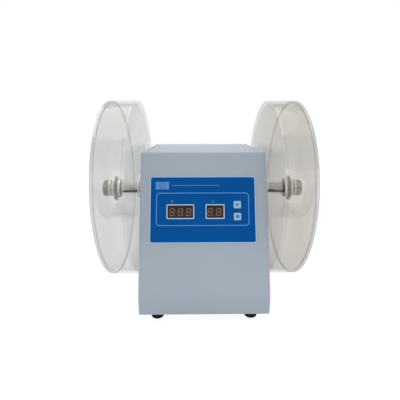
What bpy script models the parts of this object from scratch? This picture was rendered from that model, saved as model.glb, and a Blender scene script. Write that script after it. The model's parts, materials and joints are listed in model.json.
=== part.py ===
"""Tablet friability tester: two clear drums on one driven shaft, one at each side of a sloped housing.

Metres. The origin lies on the table under the middle of the shaft, +X runs along the
shaft to the right, +Y to the rear and +Z up. Sizes along the shaft are distances from
the middle, so both sides are made by one loop.
"""

import bpy
import bmesh
from math import acos, asin, atan2, cos, hypot, pi, radians, sin, tan
from mathutils import Matrix, Vector

# Gaps between separate pieces, and the reach of cutters
seat_gap = 0.0003
cut_overrun = 0.002
merge_distance = 0.00001

# Fineness of the round shapes
drum_steps = 72
round_steps = 24
small_steps = 16
hole_steps = 12
fillet_steps = 3
gear_flank_steps = 1
pinion_flank_steps = 2

# Drums
drum_radius = 0.148
rim_wall = 0.0045
drum_depth = 0.038
disc_thickness = 0.004
lid_thickness = 0.004
housing_to_drum = 0.010
vane_bulge = 0.0437
vane_thickness = 0.004
vane_ring_radius = 0.0125
vane_rim_angle = radians(168)
vane_steps = 16

# Shaft, from its middle outwards
shaft_radius = 0.0075
drum_seat_radius = 0.006
thread_radius = 0.005
sleeve_radius = 0.009
hub_flange_radius = 0.018
hub_flange_thickness = 0.003
inner_washer_radius = 0.016
inner_washer_thickness = 0.0037
outer_washer_radius = 0.022
outer_washer_thickness = 0.0027

# Hand nuts that clamp the lids
nut_neck_radius = 0.0065
nut_neck_length = 0.0057
nut_flange_radius = 0.0145
nut_flange_thickness = 0.003
nut_core_radius = 0.008
nut_core_length = 0.007
grip_radius = 0.014
grip_length = 0.0097
grip_chamfer = 0.0015
grip_dish_depth = 0.001

# Housing, with heights above or below the shaft's axis
housing_width = 0.192
cover_wall = 0.002
cover_top = 0.069
cover_bottom = 0.159
skirt_top = 0.132
slope_top_y = -0.066
front_y = -0.1435
rear_y = 0.123
top_edge_fillet = 0.004
bend_fillet = 0.030
cover_edge_radius = 0.003
rear_border = 0.014
rear_lap = 0.008
collar_hole_radius = 0.012
collar_radius = 0.018
collar_thickness = 0.0027
collar_edge = 0.0008

# Base tray and feet
tray_thickness = 0.002
tray_flange = 0.012
foot_height = 0.012
foot_radius = 0.0095
foot_sole_radius = 0.0065
foot_edge_steps = 3
foot_inset = 0.026
foot_front_y = -0.128
foot_rear_y = 0.105

# Control panel on the slope: sizes along the slope, from the slope's upper edge
panel_share = 0.8215
panel_height = 0.0995
panel_thickness = 0.0007
panel_corner = 0.004
panel_drop = 0.038
panel_x = -0.0015
display_row = -0.0034
three_digit_share = -0.2127
three_digit_width = 0.0378
two_digit_share = 0.1141
two_digit_width = 0.0250
window_height = 0.0185
window_frame = 0.0020
bezel_thickness = 0.0010
bezel_corner = 0.0015
window_recess = 0.0004

# Keys
key_size = 0.0112
key_corner = 0.002
key_share = 0.3259
key_upper_row = 0.0069
key_lower_row = -0.0109
key_rise = 0.0012
key_travel = 0.0008
key_clearance = 0.0004
key_flange_size = 0.0145
key_flange_thickness = 0.0010
key_stem_length = 0.0020

# Control board behind the slope
board_depth = 0.011
board_thickness = 0.0016
board_height = 0.052
board_row = -0.003
board_corner = 0.002
rail_width = 0.006
rail_clearance = 0.00125
tact_size = 0.006
tact_plunger_radius = 0.0017
tact_body_height = 0.0025

# Frames that carry the shaft
frame_to_cover = 0.009
frame_thickness = 0.003
frame_head_radius = 0.032
frame_foot_half = 0.048
frame_foot_depth = 0.014
bearing_outer_radius = 0.0175
bearing_width = 0.011
bearing_race = 0.0035
bearing_groove = 0.0012
seat_spigot_radius = 0.0205
seat_flange_radius = 0.027
seat_flange_thickness = 0.004

# Gears
gear_module = 0.0015
gear_teeth = 54
pinion_teeth = 18
pressure_angle = radians(20)
addendum_share = 1.0
dedendum_share = 1.25
backlash = 0.00024
gear_width = 0.008
gear_x = -0.019
gear_hub_radius = 0.013
gear_hub_width = 0.016
gear_hole_radius = 0.0085
gear_hole_circle = 0.0265
gear_hole_count = 6
pinion_width = 0.010

# Motor under the shaft
motor_radius = 0.029
gearbox_length = 0.022
motor_can_radius = 0.0245
motor_can_length = 0.030
motor_boss_radius = 0.0095
motor_shaft_radius = 0.004
motor_edge = 0.0015
bracket_x = -0.0075
bracket_thickness = 0.003
bracket_head_radius = 0.034
bracket_foot_half = 0.040
bracket_foot_depth = 0.022

# Turn counter
encoder_to_frame = 0.019
encoder_radius = 0.024
encoder_thickness = 0.0012
encoder_slots = 8
encoder_slot_width = 0.003
encoder_slot_depth = 0.006
encoder_hub_radius = 0.012
encoder_hub_width = 0.008
sensor_width = 0.014
sensor_gap = 0.004
sensor_reach = 0.009
sensor_height = 0.016
sensor_arm = 0.007

# Power supply on the tray
transformer_core = (0.058, 0.030, 0.048)
transformer_coil = (0.038, 0.044, 0.030)
transformer_x = -0.038
transformer_y = 0.072
power_board_size = (0.064, 0.060, 0.0016)
power_board_x = 0.040
power_board_y = 0.085
power_board_stand = 0.008
stand_radius = 0.003
stand_inset = 0.006
capacitor_radius = 0.007
capacitor_height = 0.018

# Rear panel
rear_panel_thickness = 0.0018
rear_panel_corner = 0.003
vent_count = 8
vent_width = 0.003
vent_length = 0.050
vent_pitch = 0.009
vent_row = 0.030
inlet_from_side = 0.042
inlet_row = -0.112
inlet_flange = (0.050, 0.026)
inlet_flange_thickness = 0.0028
inlet_flange_corner = 0.004
inlet_body = (0.0280, 0.0210)
inlet_body_depth = 0.024
inlet_corner = 0.002
socket_size = (0.0245, 0.0170)
socket_chamfer = 0.0045
socket_depth = 0.016
blade_size = (0.002, 0.004)
blade_length = 0.0105
blade_spread = 0.007
blade_row = 0.0025
switch_from_inlet = 0.042
switch_row = -0.112
switch_flange = (0.015, 0.021)
switch_flange_thickness = 0.0018
switch_flange_corner = 0.0015
switch_body = (0.0130, 0.0190)
switch_body_depth = 0.016
rocker_width = 0.0102
rocker_half = 0.0072
rocker_rise = 0.0038
rocker_dip = 0.0022
rocker_belly = 0.0032
rocker_pivot_depth = 0.0016
rocker_clearance = 0.0006
rocker_tilt = radians(10)
fuse_from_switch = 0.032
fuse_row = -0.112
fuse_flange_radius = 0.0085
fuse_flange_thickness = 0.0022
fuse_barrel_radius = 0.0065
fuse_barrel_depth = 0.030
fuse_bore_radius = 0.0042
fuse_cap_radius = 0.0066
fuse_cap_height = 0.006
fuse_stem_length = 0.022
fuse_edge = 0.0008

# Places that follow from the sizes above
axis_height = cover_bottom + foot_height
housing_half = housing_width / 2
drum_start = housing_half + housing_to_drum
disc_end = drum_start + disc_thickness
lid_start = disc_end + drum_depth
lid_end = lid_start + lid_thickness
inner_washer_start = lid_start - seat_gap - inner_washer_thickness
outer_washer_start = lid_end + seat_gap
outer_washer_end = outer_washer_start + outer_washer_thickness
nut_start = outer_washer_end + seat_gap
nut_flange_start = nut_start + nut_neck_length
grip_start = nut_flange_start + nut_flange_thickness + seat_gap
nut_core_end = nut_flange_start + nut_flange_thickness + nut_core_length
grip_end = grip_start + grip_length
rim_inner_radius = drum_radius - rim_wall
frame_outer_x = housing_half - cover_wall - frame_to_cover
encoder_x = frame_outer_x - encoder_to_frame
foot_x = housing_half - foot_inset
panel_width = housing_width * panel_share
three_digit_x = panel_width * three_digit_share
two_digit_x = panel_width * two_digit_share
key_x = panel_width * key_share
board_left = three_digit_x - three_digit_width / 2 - rail_clearance - rail_width
board_right = key_x + key_flange_size / 2 + rail_clearance + rail_width
slope_angle = atan2(slope_top_y - front_y, cover_top + skirt_top)
tray_top = foot_height + tray_thickness
gear_radius = gear_module * gear_teeth / 2
pinion_radius = gear_module * pinion_teeth / 2
gear_distance = gear_radius + pinion_radius
rear_panel_width = housing_width - 2 * (rear_border - rear_lap)
rear_panel_height = cover_top + cover_bottom - 2 * (rear_border - rear_lap)
rear_panel_row = (cover_top - cover_bottom) / 2
inlet_x = rear_panel_width / 2 - inlet_from_side
switch_x = inlet_x - switch_from_inlet
fuse_x = switch_x - fuse_from_switch


# Colour, roughness, metallic and alpha of each finish
finishes = {
    "housing paint": ((0.36, 0.40, 0.49), 0.35, 0.0, 1.0),
    "panel film": ((0.004, 0.080, 0.290), 0.30, 0.0, 1.0),
    "clear acrylic": ((0.80, 0.81, 0.80), 0.05, 0.0, 0.35),
    "pale plastic": ((0.72, 0.75, 0.78), 0.40, 0.0, 1.0),
    "dark window": ((0.030, 0.022, 0.020), 0.12, 0.0, 1.0),
    "tan plastic": ((0.31, 0.26, 0.20), 0.45, 0.0, 1.0),
    "black plastic": ((0.020, 0.020, 0.022), 0.40, 0.0, 1.0),
    "rubber": ((0.012, 0.012, 0.013), 0.70, 0.0, 1.0),
    "steel": ((0.55, 0.55, 0.54), 0.28, 1.0, 1.0),
    "zinc plate": ((0.60, 0.61, 0.60), 0.40, 1.0, 1.0),
    "brass": ((0.72, 0.55, 0.25), 0.30, 1.0, 1.0),
    "gear nylon": ((0.75, 0.73, 0.66), 0.50, 0.0, 1.0),
    "board green": ((0.02, 0.12, 0.05), 0.50, 0.0, 1.0),
    "transformer": ((0.22, 0.20, 0.17), 0.55, 0.0, 1.0),
}
paints = {}


def clear_scene():
    for old in list(bpy.data.objects):
        bpy.data.objects.remove(old, do_unlink=True)


def collection(name):
    made = bpy.data.collections.new(name)
    bpy.context.scene.collection.children.link(made)
    return made


def paint(finish):
    """The material of one finish, made once and shared."""
    if finish not in paints:
        colour, roughness, metallic, alpha = finishes[finish]
        made = bpy.data.materials.new(finish)
        made.use_nodes = True
        shader = made.node_tree.nodes["Principled BSDF"]
        shader.inputs["Base Color"].default_value = (*colour, 1.0)
        shader.inputs["Roughness"].default_value = roughness
        shader.inputs["Metallic"].default_value = metallic
        shader.inputs["Alpha"].default_value = alpha
        made.diffuse_color = (*colour, alpha)
        paints[finish] = made
    return paints[finish]


clear_scene()
parts = collection("tablet_friability_tester")
cutters = collection("cutters")


# Frames: the axes in which flat outlines and turned profiles are drawn

def frame(origin, x_axis, y_axis):
    """A matrix whose X and Y follow the given directions, with Z square to both."""
    x, y = Vector(x_axis), Vector(y_axis)
    z = x.cross(y)
    turn = Matrix((x, y, z)).transposed().to_4x4()
    return Matrix.Translation(origin) @ turn


shaft_centre = Vector((0, 0, axis_height))
motor_centre = Vector((0, 0, axis_height - gear_distance))


def across(x, centre=shaft_centre):
    """Outlines drawn as seen from the right: to the rear and up, growing along +X from x."""
    return frame(centre + Vector((x, 0, 0)), (0, 1, 0), (0, 0, 1))


def along_shaft(side, centre=shaft_centre):
    """Profiles turned about the shaft, with heights measured outwards from the middle."""
    return Matrix.Translation(centre) @ Matrix.Rotation(side * pi / 2, 4, "Y")


def on_slope(x, row, height):
    """The control panel's plane: right, up the slope, and outwards by height."""
    up = Vector((0, sin(slope_angle), cos(slope_angle)))
    out = Vector((1, 0, 0)).cross(up)
    upper_edge = Vector((panel_x, slope_top_y, axis_height + cover_top))
    middle = upper_edge - up * (panel_drop + panel_height / 2)
    return frame(middle + up * row + out * height + Vector((x, 0, 0)), (1, 0, 0), up)


def on_rear(x, row, height=0):
    """The rear panel's plane as seen from behind: right, up and towards the viewer."""
    return frame((-x, rear_y + seat_gap + height, axis_height + row), (-1, 0, 0), (0, 0, 1))


def upright(x, y, z):
    return Matrix.Translation((x, y, z))


# Shapes

def add(name, data, place, finish=None):
    made = bpy.data.objects.new(name, data)
    made.matrix_world = place
    if finish is None:
        cutters.objects.link(made)
        made.hide_render = True
        made.display_type = "WIRE"
    else:
        parts.objects.link(made)
        data.materials.append(paint(finish))
    return made


def turned(name, profile, place, finish=None, steps=round_steps, ring=False):
    """A profile of radius and height, run down its outer side and turned about Z."""
    edges = [(i, i + 1) for i in range(len(profile) - 1)]
    if ring:
        edges.append((len(profile) - 1, 0))
    mesh = bpy.data.meshes.new(name)
    mesh.from_pydata([(radius, 0, height) for radius, height in profile], edges, [])
    made = add(name, mesh, place, finish)
    screw = made.modifiers.new("Turn", "SCREW")
    screw.axis = "Z"
    screw.angle = 2 * pi
    screw.steps = steps
    screw.render_steps = steps
    screw.use_merge_vertices = True
    screw.merge_threshold = merge_distance
    return made


def flat(name, outlines, depth, place, finish=None):
    """Flat outlines with their holes, given depth along Z from the frame's plane."""
    curve = bpy.data.curves.new(name, "CURVE")
    curve.dimensions = "2D"
    curve.fill_mode = "BOTH"
    curve.extrude = depth / 2
    for points in outlines:
        spline = curve.splines.new("POLY")
        spline.points.add(len(points) - 1)
        for point, (x, y) in zip(spline.points, points):
            point.co = (x, y, 0, 1)
        spline.use_cyclic_u = True
    drawn = bpy.data.objects.new(name, curve)
    cutters.objects.link(drawn)
    bpy.context.view_layer.update()
    mesh = bpy.data.meshes.new_from_object(drawn.evaluated_get(bpy.context.evaluated_depsgraph_get()))
    bpy.data.objects.remove(drawn, do_unlink=True)
    bpy.data.curves.remove(curve)
    mesh.name = name
    welded = bmesh.new()
    welded.from_mesh(mesh)
    bmesh.ops.remove_doubles(welded, verts=welded.verts, dist=merge_distance)
    bmesh.ops.translate(welded, verts=welded.verts, vec=(0, 0, depth / 2))
    bmesh.ops.recalc_face_normals(welded, faces=welded.faces)
    welded.to_mesh(mesh)
    welded.free()
    return add(name, mesh, place, finish)


def block(name, size, place, finish=None):
    """A box that stands on the frame's plane, centred on its origin."""
    mesh = bpy.data.meshes.new(name)
    cube = bmesh.new()
    bmesh.ops.create_cube(cube, size=1)
    bmesh.ops.scale(cube, verts=cube.verts, vec=size)
    bmesh.ops.translate(cube, verts=cube.verts, vec=(0, 0, size[2] / 2))
    cube.to_mesh(mesh)
    cube.free()
    return add(name, mesh, place, finish)


def combine(piece, tool, operation):
    step = piece.modifiers.new(operation.title(), "BOOLEAN")
    step.operation = operation
    step.solver = "EXACT"
    step.object = tool
    return piece


def cut(piece, tool):
    return combine(piece, tool, "DIFFERENCE")


def fuse(piece, tool):
    return combine(piece, tool, "UNION")


def round_edges(piece, radius, segments):
    bevel = piece.modifiers.new("Edges", "BEVEL")
    bevel.width = radius
    bevel.segments = segments
    bevel.limit_method = "ANGLE"
    bevel.angle_limit = radians(40)
    return piece


def circle(radius, steps=round_steps, centre=(0, 0)):
    turns = [2 * pi * i / steps for i in range(steps)]
    return [(centre[0] + radius * cos(turn), centre[1] + radius * sin(turn)) for turn in turns]


def rounded(corners, radii, steps=fillet_steps):
    """A closed outline whose corners are filleted with arcs; a radius of 0 keeps a corner."""
    points = []
    for i, corner in enumerate(corners):
        here = Vector(corner)
        back = (Vector(corners[i - 1]) - here).normalized()
        on = (Vector(corners[(i + 1) % len(corners)]) - here).normalized()
        if radii[i] == 0:
            points.append(tuple(here))
            continue
        half = back.angle(on) / 2
        centre = here + (back + on).normalized() * radii[i] / sin(half)
        start = here + back * radii[i] / tan(half) - centre
        end = here + on * radii[i] / tan(half) - centre
        sweep = start.angle_signed(end)
        for k in range(steps + 1):
            points.append(tuple(centre + Matrix.Rotation(-sweep * k / steps, 2) @ start))
    return points


def rectangle(width, height, corner=0.0, centre=(0, 0), steps=fillet_steps):
    x, y = width / 2, height / 2
    corners = [(centre[0] + i * x, centre[1] + j * y) for i, j in ((-1, -1), (1, -1), (1, 1), (-1, 1))]
    return rounded(corners, [corner] * 4, steps)


# Housing

def side_outline(inset, extra_drop=0.0):
    """The cover seen from the right, moved in by inset, from the skirt's foot round to the rear."""
    lean = inset / cos(slope_angle)
    top = cover_top - inset
    bottom = -cover_bottom - extra_drop
    bend = -skirt_top - (lean - inset) / tan(slope_angle)
    slope_top = front_y + lean + (top + skirt_top) * tan(slope_angle)
    corners = [(front_y + inset, bottom), (rear_y - inset, bottom), (rear_y - inset, top),
               (slope_top, top), (front_y + inset, bend)]
    edge = top_edge_fillet - inset
    return rounded(corners, [0, 0, edge, edge, bend_fillet - inset])


def display_cuts(margin):
    """The two display windows and their places on the panel."""
    rows = ((three_digit_x, three_digit_width), (two_digit_x, two_digit_width))
    return [(x, width + 2 * margin, window_height + 2 * margin) for x, width in rows]


def make_cover():
    cover = flat("housing_cover", [side_outline(0, cut_overrun)], housing_width,
                 across(-housing_half), "housing paint")
    round_edges(cover, cover_edge_radius, 2)
    hollow = flat("cover hollow", [side_outline(cover_wall, 2 * cut_overrun)],
                  housing_width - 2 * cover_wall, across(cover_wall - housing_half))
    cut(cover, hollow)
    depth = rear_y - front_y + 2 * cut_overrun
    trim = block("cover trim", (housing_width + 2 * cut_overrun, depth, 2 * cut_overrun),
                 upright(0, (rear_y + front_y) / 2, foot_height - 2 * cut_overrun))
    cut(cover, trim)
    opening = (housing_width - 2 * rear_border, cover_top + cover_bottom - 2 * rear_border)
    rear = flat("rear opening", [rectangle(*opening, corner=rear_panel_corner)], 2 * cover_wall,
                on_rear(0, rear_panel_row, -3 * cover_wall / 2 - seat_gap))
    cut(cover, rear)
    for x, width, height in display_cuts(seat_gap):
        cut(cover, block("display hole", (width, height, 3 * cover_wall),
                         on_slope(x, display_row, -2 * cover_wall)))
    side = key_size + 2 * key_clearance
    for row in (key_upper_row, key_lower_row):
        cut(cover, block("key hole", (side, side, 3 * cover_wall), on_slope(key_x, row, -2 * cover_wall)))
    holes = flat("collar holes", [circle(collar_hole_radius)], housing_width + 2 * cut_overrun,
                 across(-housing_half - cut_overrun))
    cut(cover, holes)


def make_collars():
    """Covers on the housing's sides where the shaft comes out, with a spigot in the hole."""
    bore = shaft_radius + seat_gap
    inner = housing_half - cover_wall
    foot = housing_half + seat_gap
    face = foot + collar_thickness
    spigot = collar_hole_radius - seat_gap
    for name, side in (("left", -1), ("right", 1)):
        profile = [(bore, face), (collar_radius - collar_edge, face), (collar_radius, face - collar_edge),
                   (collar_radius, foot), (spigot, foot), (spigot, inner), (bore, inner)]
        turned("shaft_collar_" + name, profile, along_shaft(side), "steel", ring=True)


def make_tray():
    inset = cover_wall + seat_gap
    width = housing_width - 2 * inset
    depth = rear_y - front_y - 2 * inset
    middle = (rear_y + front_y) / 2
    tray = block("base_plate", (width, depth, tray_flange), upright(0, middle, foot_height), "zinc plate")
    inside = block("tray hollow", (width - 2 * tray_thickness, depth - 2 * tray_thickness, tray_flange),
                   upright(0, middle, tray_top))
    cut(tray, inside)


def make_feet():
    """Rubber feet whose lower edge is a quarter round."""
    top = foot_height - seat_gap
    edge = foot_radius - foot_sole_radius
    profile = [(0, top), (foot_radius, top)]
    for i in range(foot_edge_steps + 1):
        turn = pi / 2 * i / foot_edge_steps
        profile.append((foot_sole_radius + edge * cos(turn), edge - edge * sin(turn)))
    profile.append((0, 0))
    for end, y in (("front", foot_front_y), ("rear", foot_rear_y)):
        for name, side in (("left", -1), ("right", 1)):
            turned("foot_" + end + "_" + name, profile, upright(side * foot_x, y, 0), "rubber", small_steps)


def make_control_panel():
    windows = [rectangle(width, height, centre=(x, display_row))
               for x, width, height in display_cuts(seat_gap)]
    side = key_size + 2 * key_clearance
    keys = [rectangle(side, side, key_corner, (key_x, row), 2) for row in (key_upper_row, key_lower_row)]
    flat("control_overlay", [rectangle(panel_width, panel_height, panel_corner), *windows, *keys],
         panel_thickness, on_slope(0, 0, seat_gap), "panel film")


def make_displays():
    """Pale frames on the overlay, and modules that reach from the board to the windows."""
    face = seat_gap + panel_thickness + seat_gap
    outer = display_cuts(window_frame)
    inner = display_cuts(seat_gap)
    modules = display_cuts(0)
    for name, i in (("three_digit", 0), ("two_digit", 1)):
        x, width, height = outer[i]
        hole = rectangle(inner[i][1], inner[i][2])
        flat("display_bezel_" + name, [rectangle(width, height, bezel_corner, steps=2), hole],
             bezel_thickness, on_slope(x, display_row, face), "pale plastic")
        x, width, height = modules[i]
        back = seat_gap - board_depth
        block("display_" + name, (width, height, face + bezel_thickness - window_recess - back),
              on_slope(x, display_row, back), "dark window")


def make_keys():
    """Square keys held by a flange behind the cover, each above a switch on the board."""
    flange_top = -cover_wall - seat_gap
    flange_bottom = flange_top - key_flange_thickness
    stem_bottom = flange_bottom - key_stem_length
    top = seat_gap + panel_thickness + key_rise
    plunger_top = stem_bottom - key_travel - seat_gap
    switch_bottom = seat_gap - board_depth
    for name, row in (("upper", key_upper_row), ("lower", key_lower_row)):
        key = flat("key_" + name, [rectangle(key_size, key_size, key_corner, steps=2)], top - stem_bottom,
                   on_slope(key_x, row, stem_bottom), "pale plastic")
        fuse(key, block("key flange", (key_flange_size, key_flange_size, key_flange_thickness),
                        on_slope(key_x, row, flange_bottom)))
        switch = block("key_switch_" + name, (tact_size, tact_size, tact_body_height),
                       on_slope(key_x, row, switch_bottom), "black plastic")
        fuse(switch, flat("plunger", [circle(tact_plunger_radius, small_steps)],
                          plunger_top - switch_bottom - tact_body_height / 2,
                          on_slope(key_x, row, switch_bottom + tact_body_height / 2)))


def make_control_board():
    board = rectangle(board_right - board_left, board_height, board_corner, steps=2)
    flat("control_board", [board], board_thickness,
         on_slope((board_left + board_right) / 2, board_row, -board_depth - board_thickness), "board green")
    rail_height = board_depth - cover_wall - 2 * seat_gap
    for name, x in (("left", board_left + rail_width / 2), ("right", board_right - rail_width / 2)):
        block("board_rail_" + name, (rail_width, board_height, rail_height),
              on_slope(x, board_row, seat_gap - board_depth), "zinc plate")


# Drive

def head_outline(head_radius, foot_half, drop):
    """A plate that narrows from its foot to a round head about the origin."""
    start = acos(head_radius / hypot(foot_half, drop)) - atan2(drop, foot_half)
    steps = round_steps // 2
    turns = [start + (pi - 2 * start) * i / steps for i in range(steps + 1)]
    arc = [(head_radius * cos(turn), head_radius * sin(turn)) for turn in turns]
    return [(-foot_half, -drop), (foot_half, -drop), *arc]


def make_stand(name, x, thickness, head_radius, foot_half, foot_depth, hole_radius, centre, toward):
    """An upright plate with a round head and a folded foot on the tray."""
    drop = centre.z - tray_top - seat_gap
    stand = flat(name, [head_outline(head_radius, foot_half, drop), circle(hole_radius)],
                 thickness, across(x, centre), "zinc plate")
    middle = x + thickness / 2 + toward * (foot_depth - thickness) / 2
    foot = block("stand foot", (foot_depth, 2 * foot_half, thickness),
                 upright(middle, 0, tray_top + seat_gap))
    fuse(stand, foot)


def make_bearings():
    """Each frame holds a flanged seat from outside, with a ball bearing in it, grooved on its inner face."""
    inner_face = frame_outer_x - frame_thickness
    for name, side in (("left", -1), ("right", 1)):
        x = inner_face if side > 0 else -frame_outer_x
        make_stand("bearing_frame_" + name, x, frame_thickness, frame_head_radius, frame_foot_half,
                   frame_foot_depth, seat_spigot_radius + seat_gap, shaft_centre, -side)
        flange = frame_outer_x + seat_gap
        outside = flange + seat_flange_thickness
        inside = outside - bearing_width - seat_gap
        bore = bearing_outer_radius + seat_gap
        lip = bearing_outer_radius - bearing_race / 2
        lip_start = outside - seat_flange_thickness / 4
        seat = [(lip, outside), (seat_flange_radius, outside), (seat_flange_radius, flange),
                (seat_spigot_radius, flange), (seat_spigot_radius, inside), (bore, inside),
                (bore, lip_start), (lip, lip_start)]
        turned("bearing_housing_" + name, seat, along_shaft(side), "steel", small_steps, ring=True)
        end = lip_start - seat_gap
        start = end - bearing_width
        outer_land = bearing_outer_radius - bearing_race
        inner_bore = shaft_radius + seat_gap
        inner_land = inner_bore + bearing_race - seat_gap
        ball_bearing = [(inner_bore, end), (bearing_outer_radius, end), (bearing_outer_radius, start),
                        (outer_land, start), (outer_land, start + bearing_groove),
                        (inner_land, start + bearing_groove), (inner_land, start), (inner_bore, start)]
        turned("ball_bearing_" + name, ball_bearing, along_shaft(side), "steel", small_steps, ring=True)


def make_shaft():
    """One shaft through both drums, stepped down at each drum disc and at each thread."""
    step = drum_start - seat_gap
    thread = lid_end
    tip = nut_core_end
    half = [(thread_radius, tip), (thread_radius, thread), (drum_seat_radius, thread),
            (drum_seat_radius, step), (shaft_radius, step)]
    mirrored = [(radius, -x) for radius, x in reversed(half)]
    profile = [(0, tip), *half, *mirrored, (0, -tip)]
    turned("main_shaft", profile, along_shaft(1), "steel", small_steps)


def involute(angle):
    return tan(angle) - angle


def gear_outline(teeth, phase, flank_steps):
    """Involute teeth: the half angle of a tooth shrinks with the radius by the involute of its angle."""
    pitch = gear_module * teeth / 2
    base = pitch * cos(pressure_angle)
    tip = pitch + addendum_share * gear_module
    root = pitch - dedendum_share * gear_module
    half_at_pitch = pi / 2 / teeth - backlash / 4 / pitch
    start = max(base, root)

    def half_angle(radius):
        return half_at_pitch + involute(pressure_angle) - involute(acos(min(1, base / radius)))

    radii = [start + (tip - start) * i / flank_steps for i in range(flank_steps + 1)]
    flank = [(radius, half_angle(radius)) for radius in radii]
    if root < base:
        flank.insert(0, (root, half_angle(base)))
    points = []
    for tooth in range(teeth):
        middle = phase + 2 * pi * tooth / teeth
        turns = [(radius, middle - half) for radius, half in flank]
        turns += [(radius, middle + half) for radius, half in reversed(flank)]
        points += [(radius * cos(turn), radius * sin(turn)) for radius, turn in turns]
    return points


def make_gears():
    """The driven gear has a tooth pointing down, and the pinion a gap pointing up to it."""
    bore = shaft_radius + seat_gap
    centres = circle(gear_hole_circle, gear_hole_count)
    holes = [circle(gear_hole_radius, hole_steps, centre) for centre in centres]
    teeth = gear_outline(gear_teeth, -pi / 2, gear_flank_steps)
    web = (bore + gear_hub_radius) / 2
    gear = flat("driven_gear", [teeth, circle(web, small_steps), *holes], gear_width,
                across(gear_x - gear_width / 2), "gear nylon")
    fuse(gear, flat("gear hub", [circle(gear_hub_radius), circle(bore)], gear_hub_width,
                    across(gear_x - gear_hub_width / 2)))
    teeth = gear_outline(pinion_teeth, pi / 2 + pi / pinion_teeth, pinion_flank_steps)
    pinion = flat("drive_pinion", [teeth], pinion_width, across(gear_x - pinion_width / 2, motor_centre),
                  "brass")
    reach = bracket_x + bracket_thickness + seat_gap + gearbox_length / 2 - gear_x
    fuse(pinion, flat("motor shaft", [circle(motor_shaft_radius, small_steps)], reach,
                      across(gear_x, motor_centre)))


def make_motor():
    """A geared motor whose front boss sits in the bracket, with its output shaft in a blind bore."""
    make_stand("motor_bracket", bracket_x, bracket_thickness, bracket_head_radius, bracket_foot_half,
               bracket_foot_depth, motor_boss_radius + seat_gap, motor_centre, 1)
    face = bracket_x + bracket_thickness + seat_gap
    bore = motor_shaft_radius + seat_gap
    bore_end = face + gearbox_length / 2 + 2 * seat_gap
    step = face + gearbox_length
    end = step + motor_can_length
    profile = [(0, end), (motor_can_radius - motor_edge, end), (motor_can_radius, end - motor_edge),
               (motor_can_radius, step), (motor_radius, step), (motor_radius, face),
               (motor_boss_radius, face), (motor_boss_radius, bracket_x), (bore, bracket_x),
               (bore, bore_end), (0, bore_end)]
    turned("drive_motor", profile, along_shaft(1, motor_centre), "black plastic")


def slotted_outline():
    """A disc's rim, cut by straight slots that stand at equal angles."""
    points = []
    floor = encoder_radius - encoder_slot_depth
    half_rim = asin(encoder_slot_width / 2 / encoder_radius)
    half_floor = asin(encoder_slot_width / 2 / floor)
    pitch = 2 * pi / encoder_slots
    steps = round_steps // encoder_slots + 2
    for i in range(encoder_slots):
        middle = pitch * i
        turns = [(floor, middle - half_floor), (floor, middle + half_floor)]
        land = pitch - 2 * half_rim
        turns += [(encoder_radius, middle + half_rim + land * k / steps) for k in range(steps + 1)]
        points += [(radius * cos(turn), radius * sin(turn)) for radius, turn in turns]
    return points


def make_counter():
    """A slotted disc on the shaft, and a fork on the right frame that its edge runs through."""
    bore = shaft_radius + seat_gap
    web = (bore + encoder_hub_radius) / 2
    disc = flat("encoder_disc", [slotted_outline(), circle(web, small_steps)], encoder_thickness,
                across(encoder_x - encoder_thickness / 2), "black plastic")
    hub = [circle(encoder_hub_radius, small_steps), circle(bore, small_steps)]
    fuse(disc, flat("encoder hub", hub, encoder_hub_width, across(encoder_x - encoder_hub_width / 2)))
    back = frame_outer_x - frame_thickness - seat_gap
    reach = sensor_gap / 2 + sensor_arm / 2
    front = encoder_x - reach
    bottom = encoder_radius - sensor_reach
    fork = block("optical_sensor", (back - front, sensor_width, sensor_height),
                 upright((back + front) / 2, 0, axis_height + bottom), "black plastic")
    through = sensor_width + 2 * cut_overrun
    below = upright(encoder_x, 0, axis_height + bottom - cut_overrun)
    cut(fork, block("fork slot", (sensor_gap, through, sensor_reach + 2 * seat_gap + cut_overrun), below))
    behind = back - encoder_x - reach
    relief = seat_spigot_radius + 2 * seat_gap - bottom + cut_overrun
    cut(fork, block("bearing relief", (behind + cut_overrun, through, relief),
                    below @ upright(reach + (behind + cut_overrun) / 2, 0, 0)))


def make_power_supply():
    seat = tray_top + seat_gap
    transformer = block("transformer", transformer_core, upright(transformer_x, transformer_y, seat),
                        "transformer")
    lift = (transformer_core[2] - transformer_coil[2]) / 2
    fuse(transformer, block("coil", transformer_coil, upright(transformer_x, transformer_y, seat + lift)))
    width, depth, thickness = power_board_size
    board = block("power_board", power_board_size,
                  upright(power_board_x, power_board_y, seat + power_board_stand), "board green")
    for i, j in ((-1, -1), (1, -1), (1, 1), (-1, 1)):
        x = power_board_x + i * (width / 2 - stand_inset)
        y = power_board_y + j * (depth / 2 - stand_inset)
        fuse(board, flat("stand", [circle(stand_radius, small_steps // 2)], power_board_stand + thickness / 2,
                         upright(x, y, seat)))
    for i in (-1, 1):
        fuse(board, flat("capacitor", [circle(capacitor_radius, small_steps)], capacitor_height,
                         upright(power_board_x + i * 2 * capacitor_radius, power_board_y,
                                 seat + power_board_stand + thickness / 2)))


# Rear panel

def make_rear_panel():
    panel = [rectangle(rear_panel_width, rear_panel_height, rear_panel_corner,
                       (0, rear_panel_row))]
    for i in range(vent_count):
        x = (i - (vent_count - 1) / 2) * vent_pitch
        panel.append(rectangle(vent_width, vent_length, vent_width / 3, (x, vent_row), 1))
    inlet = [size + 2 * seat_gap for size in inlet_body]
    panel.append(rectangle(*inlet, corner=inlet_corner, centre=(inlet_x, inlet_row)))
    switch = [size + 2 * seat_gap for size in switch_body]
    panel.append(rectangle(*switch, centre=(switch_x, switch_row)))
    panel.append(circle(fuse_barrel_radius + seat_gap, small_steps, (fuse_x, fuse_row)))
    flat("rear_panel", panel, rear_panel_thickness, on_rear(0, 0), "housing paint")


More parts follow.
